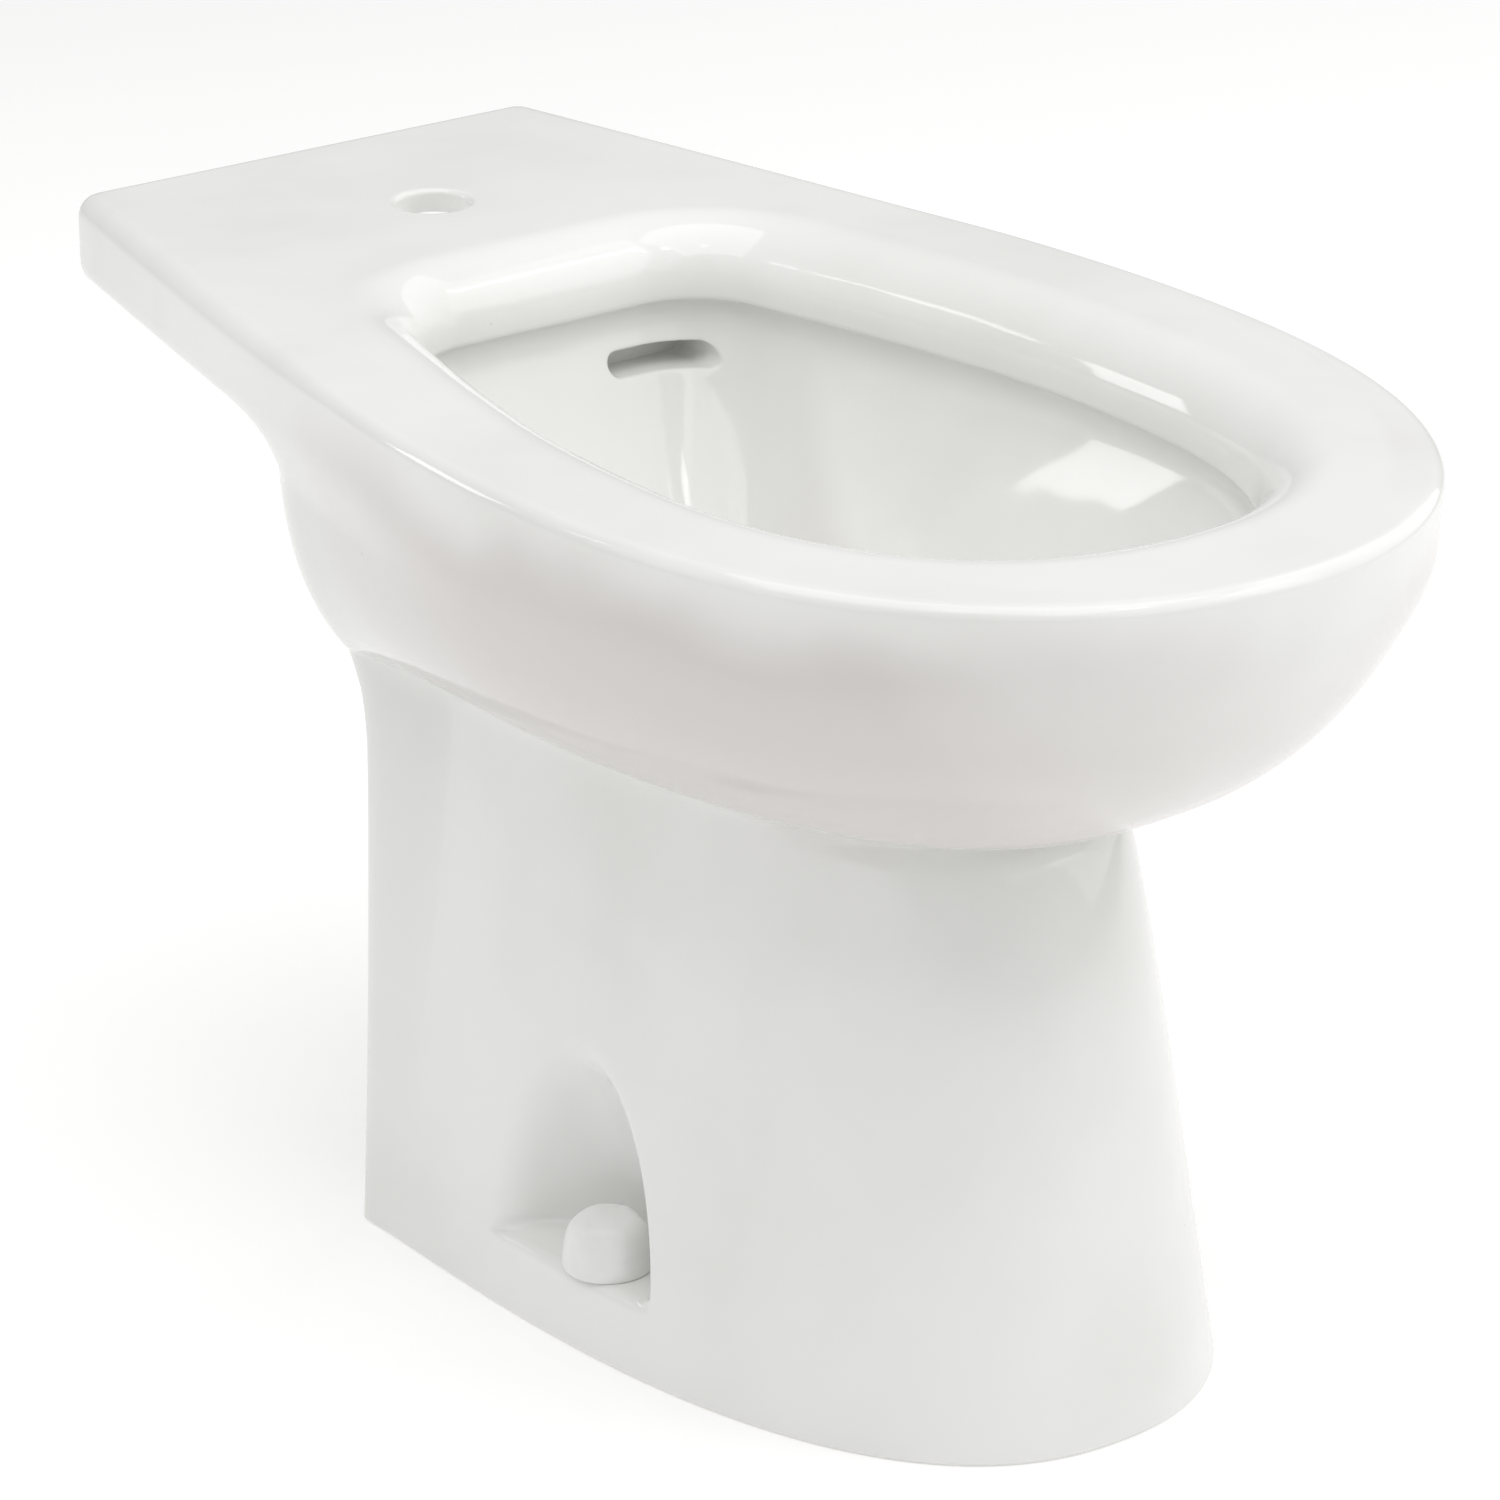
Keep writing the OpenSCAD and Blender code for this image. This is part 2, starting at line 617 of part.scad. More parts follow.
// Stud that comes up from the floor, drawn from the floor line, with its thread set in a little
module floor_stud(s) {
    shoulder = ledge_h - 4;
    color(steel_c)
        translate([s * bolt_x, bolt_y, 0])
            rotate_extrude()
                polygon([
                    [0, 0], [stud_r, 0], [stud_r, shoulder], [thread_in, shoulder + 0.3],
                    [thread_in, stud_top - 1], [thread_in - 1, stud_top], [0, stud_top]
                ]);
}
module floor_stud_left() { floor_stud(-1); }
module floor_stud_right() { floor_stud(1); }

// Flanged tube with side windows for the overflow and a bridge for the guide
module waste_body() {
    top = flange_z + flange_t;
    win_z = boss_z + 7.5;
    color(chrome_c)
        translate([0, waste_y, 0])
            union() {
                difference() {
                    rotate_extrude()
                        polygon([
                            [bore_r, body_low], [thread_r - 0.8, body_low], [thread_r, body_low + 0.8],
                            [thread_r, flange_z], [flange_r - 0.6, flange_z], [flange_r, flange_z + 0.6],
                            [flange_r - 0.5, flange_z + 1.5], [flange_r - 3, top - 0.4], [flange_r - 6, top],
                            [plug_r + 0.9, top], [plug_r + 0.4, top - 0.4], [plug_r + 0.4, plug_z],
                            [bore_r + 1, plug_z], [bore_r, plug_z - 1]
                        ]);
                    for (a = [45, 135, 225, 315])
                        rotate([0, 0, a])
                            translate([bore_r - 3, 0, win_z])
                                rotate([0, 90, 0])
                                    cylinder(d = 9, h = 10, $fn = 40);
                    for (a = [90, 270])
                        rotate([0, 0, a])
                            translate([bore_r - 3, 0, win_z])
                                rotate([0, 90, 0])
                                    cylinder(d = 9, h = 10, $fn = 40);
                }
                difference() {
                    union() {
                        translate([0, 0, hub_low])
                            cylinder(r = hub_r, h = hub_h);
                        for (a = [0, 90])
                            rotate([0, 0, a])
                                translate([-bore_r - 0.5, -1.5, hub_low])
                                    cube([2 * bore_r + 1, 3, hub_h - 3]);
                    }
                    translate([0, 0, hub_low - 1])
                        cylinder(r = guide_r - 0.05, h = hub_h + 2);
                }
            }
}

// Flat ring on the waste axis
module waste_ring(r_in, r_out, z, h) {
    translate([0, waste_y, z])
        difference() {
            cylinder(r = r_out, h = h);
            translate([0, 0, -1])
                cylinder(r = r_in, h = h + 2);
        }
}
module flange_seal() {
    color(rubber_c)
        waste_ring(thread_r + 0.3, flange_r - 1, seat_z, flange_z - seat_z);
}
module under_seal() {
    color(rubber_c)
        waste_ring(thread_r + 0.3, flange_r + 1, boss_z - seal_t, seal_t);
}
module slip_washer() {
    color(nylon_c)
        waste_ring(thread_r + 0.3, flange_r, slip_z, slip_t);
}
module back_nut() {
    color(chrome_c)
        translate([0, waste_y, back_nut_z])
            rotate([0, 0, 15])
                hex_nut(1.42 * thread_d, nut_t, thread_r - 0.05);
}

// Domed plug that lies in the flange
module plug_cap() {
    dome = 3;
    color(chrome_c)
        translate([0, waste_y, plug_z])
            rotate_extrude()
                polygon(concat(
                    [[0, 0], [plug_r - 0.3, 0], [plug_r, 0.3], [plug_r, 1.2]],
                    [for (i = [1 : 8])
                        let (a = 90 * i / 8)
                        [plug_r * cos(a), 1.2 + dome * sin(a) * 0.9 + 0.3 * sin(a)]]));
}
// Soft ring under the plug, clear of the bore
module plug_seal() {
    color(rubber_c)
        waste_ring(stem_r + 2, bore_r - 0.35, plug_z - 2.2, 2.2);
}
module plug_stem() {
    color(steel_c)
        translate([0, waste_y, 0])
            rotate_extrude()
                polygon([
                    [0, guide_low + 4], [stem_r - 0.6, guide_low + 4], [stem_r, guide_low + 4.6],
                    [stem_r, guide_top + 0.3], [stem_r + 2, guide_top + 0.3],
                    [stem_r + 2, plug_z], [0, plug_z]
                ]);
}
// Guide that holds the latch of the plug
module plug_guide() {
    color(nylon_c)
        translate([0, waste_y, 0])
            difference() {
                translate([0, 0, guide_low])
                    cylinder(r = guide_r, h = guide_top - guide_low);
                translate([0, 0, guide_low + 2])
                    cylinder(r = stem_r + slide_gap, h = guide_top - guide_low);
            }
}

// Smooth pipe that leads down to the trap
module tail_pipe() {
    neck = tail_r - 0.25;
    step = body_low - ring_t - 6;
    color(chrome_c)
        translate([0, waste_y, 0])
            rotate_extrude()
                polygon([
                    [tail_r - 1.4, tail_low], [tail_r - 0.4, tail_low], [tail_r, tail_low + 0.6],
                    [tail_r, step], [neck, step + 0.4],
                    [neck, tail_top - 2], [bore_r - 0.35, tail_top - 2], [bore_r - 0.35, tail_top],
                    [tail_r - 1.4, tail_top]
                ]);
}
module tail_ring() {
    color(rubber_c)
        waste_ring(tail_r - 0.3, thread_r - 0.3, body_low - ring_t, ring_t);
}
module tail_nut() {
    low = body_low - ring_t - 2.5;
    color(chrome_c)
        translate([0, waste_y, low])
            difference() {
                union() {
                    cylinder(r = tail_nut_r, h = tail_nut_h);
                    for (i = [0 : 7])
                        rotate([0, 0, 45 * i])
                            translate([tail_nut_r - 0.6, -3, 1])
                                cube([2.2, 6, tail_nut_h - 2]);
                }
                translate([0, 0, -1])
                    cylinder(r = tail_r + 0.3, h = tail_nut_h);
                translate([0, 0, 2.5])
                    cylinder(r = thread_r - 0.05, h = tail_nut_h);
            }
}

china_body();
bolt_cap_left();
bolt_cap_right();
cap_base_left();
cap_base_right();
floor_nut_left();
floor_nut_right();
floor_washer_left();
floor_washer_right();
floor_stud_left();
floor_stud_right();
waste_body();
flange_seal();
under_seal();
slip_washer();
back_nut();
plug_cap();
plug_seal();
plug_stem();
plug_guide();
tail_pipe();
tail_ring();
tail_nut();
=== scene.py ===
"""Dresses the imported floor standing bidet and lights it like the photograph."""
import logging
import math
from dataclasses import dataclass, field
from enum import Enum
from typing import Callable, Sequence

import bmesh
import bpy
import numpy as np
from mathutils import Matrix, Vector
from mathutils.geometry import delaunay_2d_cdt


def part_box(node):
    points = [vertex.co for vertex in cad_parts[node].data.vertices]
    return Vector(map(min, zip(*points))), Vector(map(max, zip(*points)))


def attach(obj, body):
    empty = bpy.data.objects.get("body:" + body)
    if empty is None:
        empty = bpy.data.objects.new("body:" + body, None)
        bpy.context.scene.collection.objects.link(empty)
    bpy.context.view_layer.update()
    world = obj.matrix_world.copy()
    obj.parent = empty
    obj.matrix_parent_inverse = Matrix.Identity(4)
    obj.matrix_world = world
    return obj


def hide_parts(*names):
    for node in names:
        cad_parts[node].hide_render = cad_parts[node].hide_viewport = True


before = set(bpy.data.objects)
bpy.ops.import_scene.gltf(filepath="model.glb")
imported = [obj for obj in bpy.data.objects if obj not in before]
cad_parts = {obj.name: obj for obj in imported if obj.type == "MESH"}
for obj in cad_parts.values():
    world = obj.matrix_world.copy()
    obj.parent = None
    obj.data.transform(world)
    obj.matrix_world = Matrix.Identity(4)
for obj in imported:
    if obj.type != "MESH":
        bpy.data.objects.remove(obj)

log = logging.getLogger("bidet")
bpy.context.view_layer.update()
MM = 0.001
Array = np.ndarray
Axis = tuple[float, float]
Colour = tuple[float, float, float]
Corner = tuple[float, float, float]
Skin = Callable[[Array, Array], Array]
UP = np.array([0.0, 0.0, 1.0])


class Side(Enum):
    """The two sides of the body, as the sign of X."""

    LEFT = -1
    RIGHT = 1


class Polish(Enum):
    """How far a metal is finished: roughness and strength of its turning lines."""

    MIRROR = (0.07, 0.05)
    PLATED = (0.3, 0.25)
    TURNED = (0.24, 0.5)


# ---------------------------------------------------------------- shader maths
class Wire:
    """A shader socket that takes part in Python expressions."""

    def __init__(self, book: "ShaderBook", socket: bpy.types.NodeSocket) -> None:
        """Keeps the socket and the book that it belongs to."""
        self.book, self.socket = book, socket

    def _maths(self, operation: str, first: object, second: object) -> "Wire":
        """Adds one Math node and returns the wire of its result."""
        return self.book.node("ShaderNodeMath", {"operation": operation}, {0: first, 1: second})

    def __add__(self, other: object) -> "Wire":
        """Sum."""
        return self._maths("ADD", self, other)

    def __sub__(self, other: object) -> "Wire":
        """Difference."""
        return self._maths("SUBTRACT", self, other)

    def __mul__(self, other: object) -> "Wire":
        """Product."""
        return self._maths("MULTIPLY", self, other)

    def __rsub__(self, other: object) -> "Wire":
        """Difference with the wire on the right."""
        return self._maths("SUBTRACT", other, self)

    __radd__, __rmul__ = __add__, __mul__

    def smooth(self, low: float, high: float) -> "Wire":
        """Smooth step.

        Args:
            low: value that gives 0.
            high: value that gives 1.

        Returns:
            The wire of the result.
        """
        return self.book.node("ShaderNodeMapRange", {"interpolation_type": "SMOOTHSTEP"}, {
            "Value": self, "From Min": low, "From Max": high, "To Min": 0.0, "To Max": 1.0})


class ShaderBook:
    """Builds the nodes of one material."""

    def __init__(self, name: str) -> None:
        """Makes an empty material with its output node.

        Args:
            name: name of the material.
        """
        self.material = bpy.data.materials.new(name)
        self.material.use_nodes = True
        self.tree = self.material.node_tree
        self.tree.nodes.clear()
        self.output = self.tree.nodes.new("ShaderNodeOutputMaterial")

    def node(self, kind: str, settings: dict, inputs: dict, out: object = 0) -> Wire:
        """Adds any node.

        Args:
            kind: node type name.
            settings: properties that are set first.
            inputs: values or wires by socket name or number.
            out: name or number of the socket that is returned.

        Returns:
            The wire of the chosen output.
        """
        made = self.tree.nodes.new(kind)
        for key, value in settings.items():
            setattr(made, key, value)
        for key, value in inputs.items():
            if isinstance(value, Wire):
                self.tree.links.new(value.socket, made.inputs[key])
            else:
                made.inputs[key].default_value = value
        return Wire(self, made.outputs[out])

    def place(self) -> Wire:
        """Object coordinates in metres."""
        return self.node("ShaderNodeTexCoord", {}, {}, "Object")

    def axis(self, name: str) -> Wire:
        """One of the object coordinates, in metres."""
        return self.node("ShaderNodeSeparateXYZ", {}, {0: self.place()}, name)

    def noise(self, scale: float, detail: float = 3.0, rough: float = 0.5, where: Wire | None = None) -> Wire:
        """Noise value.

        Args:
            scale: features per metre.
            detail: number of octaves.
            rough: weight of the finer octaves.
            where: coordinates, or none for the plain ones.

        Returns:
            The wire of the noise value.
        """
        return self.node("ShaderNodeTexNoise", {}, {
            "Vector": where or self.place(), "Scale": scale, "Detail": detail, "Roughness": rough})

    def tint(self, mask: Wire, low: Wire | Colour, high: Colour) -> Wire:
        """Blends two colours by a mask.

        Args:
            mask: blend factor.
            low: colour at 0.
            high: colour at 1.

        Returns:
            The wire of the colour.
        """
        low = low if isinstance(low, Wire) else (*low, 1.0)
        return self.node("ShaderNodeMix", {"data_type": "RGBA"}, {0: mask, 6: low, 7: (*high, 1.0)}, 2)

    def bump(self, height: Wire, strength: float, distance: float, under: Wire | None = None) -> Wire:
        """Bump from a height.

        Args:
            height: height wire.
            strength: share of the effect.
            distance: depth in metres.
            under: normal that it builds on.

        Returns:
            The wire of the normal.
        """
        inputs = {"Height": height, "Strength": strength, "Distance": distance}
        return self.node("ShaderNodeBump", {}, {**inputs, "Normal": under} if under else inputs)

    def finish(self, inputs: dict) -> bpy.types.Material:
        """Adds the Principled shader with its values or wires and returns the material.

        Args:
            inputs: values or wires by socket name.

        Returns:
            The material.
        """
        shader = self.node("ShaderNodeBsdfPrincipled", {}, inputs)
        self.tree.links.new(shader.socket, self.output.inputs[0])
        return self.material


# ---------------------------------------------------------------- finishes
@dataclass(frozen=True)
class Glaze:
    """White vitreous glaze, bare at the foot, with painted shade and a pinkish painted reflection of the floor on the
    bulge's underside.
    """

    name: str = "china_glaze"
    white: Colour = (0.86, 0.86, 0.846)
    pool: Colour = (0.80, 0.803, 0.782)
    bare: Colour = (0.80, 0.785, 0.75)
    painted_reflection: Colour = (0.655, 0.622, 0.605)
    painted_shade: Colour = (0.735, 0.735, 0.715)
    speck: Colour = (0.42, 0.36, 0.28)
    gloss: float = 0.055

    def material(self) -> bpy.types.Material:
        """Builds the glaze with its slow waves, fine peel, rare specks and bare foot, and the painted shade and painted
        reflection on the bulge's underside.

        Returns:
            The material.
        """
        book = ShaderBook(self.name)
        x, y, z = (book.axis(name) for name in "XYZ")
        cells = book.node("ShaderNodeTexVoronoi", {"feature": "F1"}, {"Vector": book.place(), "Scale": 46.0})
        dots = (1.0 - cells.smooth(0.012, 0.03)) * book.noise(33.0, 1.0).smooth(0.60, 0.66)
        foot = 1.0 - (z + book.noise(90.0, 3.0) * 0.0012).smooth(0.0008, 0.0018)
        level = z + (book.noise(9.0, 2.0) - 0.5) * 0.05
        along = y + (book.noise(11.0, 2.0) - 0.5) * 0.08
        side, front = x * (1 / 0.1785), (y + 0.073) * (1 / 0.248)
        outside = side * side + front * front - (z - 0.2) * 5.0
        # mask of the bulge's underside, where shade and the floor's reflection are painted into the colour
        under = level.smooth(0.236, 0.252) * outside.smooth(-0.06, 0.02)
        reach = along.smooth(-0.345, -0.245) * (1.0 - along.smooth(-0.06, 0.10))
        colour = book.tint(book.noise(7.0, 3.0, 0.55).smooth(0.35, 0.75), self.white, self.pool)
        # painted shade: a darker band over the bulge's underside
        colour = book.tint(under * (1.0 - level.smooth(0.305, 0.37)) * 0.75, colour, self.painted_shade)
        # painted reflection: a pinkish reflection of the floor on part of the bulge's underside
        colour = book.tint(under * reach * (1.0 - level.smooth(0.345, 0.382)), colour, self.painted_reflection)
        colour = book.tint(dots * 0.5, colour, self.speck)
        colour = book.tint(foot, colour, self.bare)
        rough = self.gloss + book.noise(60.0, 4.0) * 0.03 + foot * 0.6
        normal = book.bump(book.noise(16.0, 2.0, 0.45), 0.55, 0.0011)
        normal = book.bump(book.noise(420.0, 2.0, 0.5), 0.10, 0.00012, normal)
        normal = book.bump(book.noise(1500.0, 2.0) * foot, 0.5, 0.0003, normal)
        return book.finish({"Base Color": colour, "Roughness": rough, "Normal": normal, "IOR": 1.52})


@dataclass(frozen=True)
class Plastic:
    """Moulded plastic, glossy or matt."""

    name: str
    colour: Colour
    gloss: float = 0.3
    grain: float = 0.2

    def material(self) -> bpy.types.Material:
        """Builds the plastic with mould grain and handling marks.

        Returns:
            The material.
        """
        book = ShaderBook(self.name)
        cloud = book.noise(60.0, 3.0)
        colour = book.tint(cloud.smooth(0.3, 0.8), self.colour, tuple(c * 0.93 for c in self.colour))
        rough = self.gloss + book.noise(240.0, 5.0, 0.7).smooth(0.52, 0.74) * 0.12 + cloud * 0.06
        normal = book.bump(book.noise(2600.0, 2.0), self.grain, 0.00012)
        return book.finish({"Base Color": colour, "Roughness": rough, "Normal": normal, "IOR": 1.49})


@dataclass(frozen=True)
class Metal:
    """Plated, polished or turned metal."""

    name: str
    colour: Colour
    polish: Polish

    def material(self) -> bpy.types.Material:
        """Builds the metal with turning lines, water marks and small wear.

        Returns:
            The material.
        """
        book = ShaderBook(self.name)
        base, lines = self.polish.value
        flat = book.node("ShaderNodeMapping", {"vector_type": "POINT"}, {0: book.place(), 3: (60.0, 60.0, 2600.0)})
        turning = book.noise(1.0, 3.0, 0.6, flat)
        marks = book.noise(130.0, 5.0, 0.65).smooth(0.5, 0.72)
        colour = book.tint(marks * 0.35, self.colour, tuple(c * 0.78 for c in self.colour))
        rough = base + marks * 0.12 + turning * 0.05
        normal = book.bump(turning, lines, 0.00006)
        return book.finish({"Base Color": colour, "Roughness": rough, "Metallic": 1.0, "Normal": normal})


@dataclass(frozen=True)
class SoftRubber:
    """Matt black sealing rubber."""

    name: str = "seal_rubber"
    colour: Colour = (0.02, 0.02, 0.02)
    dust: Colour = (0.09, 0.088, 0.085)

    def material(self) -> bpy.types.Material:
        """Builds the rubber with a dusty bloom.

        Returns:
            The material.
        """
        book = ShaderBook(self.name)
        bloom = book.noise(300.0, 5.0, 0.7).smooth(0.45, 0.8)
        colour = book.tint(bloom * 0.5, self.colour, self.dust)
        normal = book.bump(book.noise(1800.0, 3.0), 0.3, 0.0001)
        return book.finish({"Base Color": colour, "Roughness": 0.62 + bloom * 0.2, "Normal": normal})


@dataclass(frozen=True)
class StudioPaint:
    """Pale matt paint of the studio floor."""

    name: str = "studio_floor"
    colour: Colour = (0.80, 0.80, 0.80)
    glow: float = 0.32

    def material(self) -> bpy.types.Material:
        """Builds the paint with a faint roller texture.

        Returns:
            The material.
        """
        book = ShaderBook(self.name)
        colour = book.tint(book.noise(1.6, 2.0), self.colour, tuple(c * 0.985 for c in self.colour))
        normal = book.bump(book.noise(240.0, 2.0), 0.04, 0.0002)
        return book.finish({
            "Base Color": colour, "Roughness": 0.7, "Normal": normal, "Emission Color": (1.0, 1.0, 1.0, 1.0),
            "Emission Strength": self.glow})


# ---------------------------------------------------------------- mesh building
class MeshBook:
    """Collects points and faces of one piece, in millimetres."""

    def __init__(self) -> None:
        """Starts with no points and no faces."""
        self.points: list[Array] = []
        self.count = 0
        self.faces: list[tuple[int, ...]] = []

    def add(self, points: Array) -> Array:
        """Adds points, rows of x, y, z, and returns their numbers.

        Args:
            points: the points.

        Returns:
            Their numbers.
        """
        points = np.asarray(points, float).reshape(-1, 3)
        self.points.append(points)
        self.count += len(points)
        return np.arange(self.count - len(points), self.count)

    def pole(self, point: Sequence[float], n: int) -> Array:
        """Adds one point and returns it as a row of n equal numbers."""
        return np.repeat(self.add(np.array([point])), n)

    def loft(self, rows: Sequence[Array], closed: bool = True, flip: bool = False) -> None:
        """Joins neighbouring rows of equal length by quads, or triangles at a pole.

        Args:
            rows: point numbers of each row.
            closed: whether the rows are loops.
            flip: whether the faces turn round.
        """
        for low, high in zip(rows, rows[1:]):
            n = len(low)
            for i in range(n if closed else n - 1):
                j = (i + 1) % n
                quad = tuple(int(q) for q in dict.fromkeys((low[i], low[j], high[j], high[i])))
                if len(quad) > 2:
                    self.faces.append(quad[::-1] if flip else quad)

    def xyz(self) -> Array:
        """All points as one array."""
        return np.concatenate(self.points)

    def level(self, numbers: Sequence[int], z: float) -> None:
        """Puts points exactly at one height.

        Args:
            numbers: numbers of the points.
            z: height in millimetres.
        """
        flat = self.xyz()
        flat[list(numbers), 2] = z
        self.points = [flat]

    def planar(self, loops: Sequence[Sequence[int]], up: bool) -> None:
        """Fills a flat region in X and Y between an outer loop and its holes.

        Args:
            loops: the outer loop first, then the holes, as point numbers.
            up: whether the faces look up.
        """
        points = self.xyz()
        numbers = [int(i) for loop in loops for i in loop]
        edges, start = [], 0
        for loop in loops:
            n = len(loop)
            edges += [(start + k, start + (k + 1) % n) for k in range(n)]
            start += n
        coords = [Vector(points[i][:2]) for i in numbers]
        verts, _, faces, origin, _, _ = delaunay_2d_cdt(coords, edges, [], 0, 1e-6)
        z = float(points[numbers[0]][2])
        names = [
            numbers[origin[k][0]] if origin[k] else int(self.add(np.array([[v.x, v.y, z]]))[0])
            for k, v in enumerate(verts)]
        flat = [points[np.asarray(loop, int)][:, :2] for loop in loops]
        for face in faces:
            middle = np.mean([(verts[k].x, verts[k].y) for k in face], axis=0)
            tri = tuple(names[k] for k in face)
            if inside(flat[0], middle) and not any(inside(hole, middle) for hole in flat[1:]) and len(set(tri)) == 3:
                a, b, c = (verts[k] for k in face[:3])
                ccw = (b.x - a.x) * (c.y - a.y) - (b.y - a.y) * (c.x - a.x) > 0
                self.faces.append(tri if ccw == up else tri[::-1])

    def make(self, name: str, material: bpy.types.Material, sharp: float = 38.0) -> bpy.types.Object:
        """Makes the object, at the origin, in metres.

        Args:
            name: name of the piece.
            material: its finish.
            sharp: angle from which an edge shades sharp, in degrees.

        Returns:
            The object.
        """
        mesh = bpy.data.meshes.new(name)
        mesh.from_pydata((self.xyz() * MM).tolist(), [], self.faces)
        mesh.validate()
        bm = bmesh.new()
        bm.from_mesh(mesh)
        bmesh.ops.remove_doubles(bm, verts=bm.verts, dist=2e-6)
        bmesh.ops.dissolve_degenerate(bm, edges=bm.edges, dist=1e-6)
        bmesh.ops.delete(bm, geom=[v for v in bm.verts if not v.link_faces], context="VERTS")
        bm.to_mesh(mesh)
        bm.free()
        smooth(mesh, sharp)
        mesh.materials.append(material)
        made = bpy.data.objects.new(name, mesh)
        bpy.context.scene.collection.objects.link(made)
        return made


def smooth(mesh: bpy.types.Mesh, sharp: float = 38.0) -> None:
    """Shades a mesh smooth, apart from edges over an angle in degrees."""
    mesh.polygons.foreach_set("use_smooth", [True] * len(mesh.polygons))
    mesh.set_sharp_from_angle(angle=math.radians(sharp))


def bake(piece: bpy.types.Object, modifier: bpy.types.Modifier) -> None:
    """Keeps a modifier's result as plain mesh and removes the modifier.

    Args:
        piece: the piece.
        modifier: its modifier.
    """
    graph = bpy.context.evaluated_depsgraph_get()
    graph.update()
    mesh = bpy.data.meshes.new_from_object(piece.evaluated_get(graph))
    piece.modifiers.remove(modifier)
    old, piece.data = piece.data, mesh
    bpy.data.meshes.remove(old)


def inside(loop: Array, point: Array) -> bool:
    """Whether a point lies inside a flat loop.

    Args:
        loop: points of the loop.
        point: X and Y of the point.

    Returns:
        True where it does.
    """
    x, y = loop[:, 0], loop[:, 1]
    x2, y2 = np.roll(x, -1), np.roll(y, -1)
    cut = (y > point[1]) != (y2 > point[1])
    with np.errstate(divide="ignore", invalid="ignore"):
        at = x + (point[1] - y) * (x2 - x) / (y2 - y)
    return bool(np.count_nonzero(cut & (point[0] < at)) % 2)


def mix(a: object, b: object, t: object) -> object:
    """Value between a and b."""
    return a + (b - a) * t


def clamp01(t: object) -> Array:
    """Value held between 0 and 1."""
    return np.clip(t, 0.0, 1.0)


def smoothstep(t: object) -> Array:
    """Soft step from 0 to 1."""
    t = clamp01(t)
    return t * t * (3 - 2 * t)


def turns(n: int) -> Array:
    """Angles of n columns round an axis."""
    return np.linspace(0, 2 * np.pi, n + 1)[:-1]


def columns(*parts: object) -> Array:
    """Stacks coordinates as rows of points."""
    return np.stack(np.broadcast_arrays(*parts), axis=-1)


def arc_path(corner: Array, before: Array, after: Array, steps: int) -> list[Array]:
    """Rounds a corner with a quadratic arc.

    Args:
        corner: corner point of every column.
        before: start of the arc.
        after: end of the arc.
        steps: number of stretches.

    Returns:
        The rows of the arc, both ends included.
    """
    return [before * (1 - t) ** 2 + corner * 2 * t * (1 - t) + after * t * t for t in np.linspace(0, 1, steps + 1)]


def towards(start: Array, end: Array, reach: object) -> Array:
    """Points at a distance in millimetres from start on the way to end.

    Args:
        start: first points.
        end: points on which they look.
        reach: distance of each.

    Returns:
        The points.
    """
    way = end - start
    length = np.maximum(np.linalg.norm(way, axis=-1, keepdims=True), 1e-9)
    return start + way / length * np.minimum(np.asarray(reach, float).reshape(-1, 1), length)


def solve(rule: Callable[[Array], Array], low: float, high: float, n: int) -> Array:
    """Finds where a rising rule crosses zero, for many places at once.

    Args:
        rule: gives the value for an array of places.
        low: lowest place.
        high: highest place.
        n: number of places.

    Returns:
        The places.
    """
    a, b = np.full(n, float(low)), np.full(n, float(high))
    for _ in range(34):
        m = (a + b) / 2
        up = rule(m) < 0
        a, b = np.where(up, m, a), np.where(up, b, m)
    return (a + b) / 2


# ---------------------------------------------------------------- the body's rule
@dataclass(frozen=True)
class BodySizes:
    """Sizes of the body in millimetres, as the frame has them."""

    length: float = 642.0
    width: float = 357.0
    height: float = 380.0
    deck_width: float = 228.0
    skirt: float = 35.0
    bulge: float = 137.0
    edge: float = 6.0
    deck_edge: float = 9.0
    wall: float = 11.0
    deck: float = 10.0
    open_length: float = 434.0
    open_width: float = 277.0
    roll: float = 27.0
    undercut: float = 6.0
    bowl: float = 173.0
    tap: float = 31.0
    tap_back: float = 100.0
    tap_edge: float = 2.4
    waste_y: float = 10.0
    slot_w: float = 46.0
    slot_h: float = 10.0
    slot_x: float = 49.5
    slot_drop: float = 54.0
    bolt_gap: float = 212.0
    bolt_y: float = -49.0
    bolt_hole: float = 5.5
    ledge: float = 30.0
    niche_w: float = 90.0
    niche_h: float = 101.0
    niche_y: float = -54.0
    arch_y: float = -45.5
    arch_half: float = 49.5
    arch_tall: float = 107.0
    arch_lean: float = 10.0


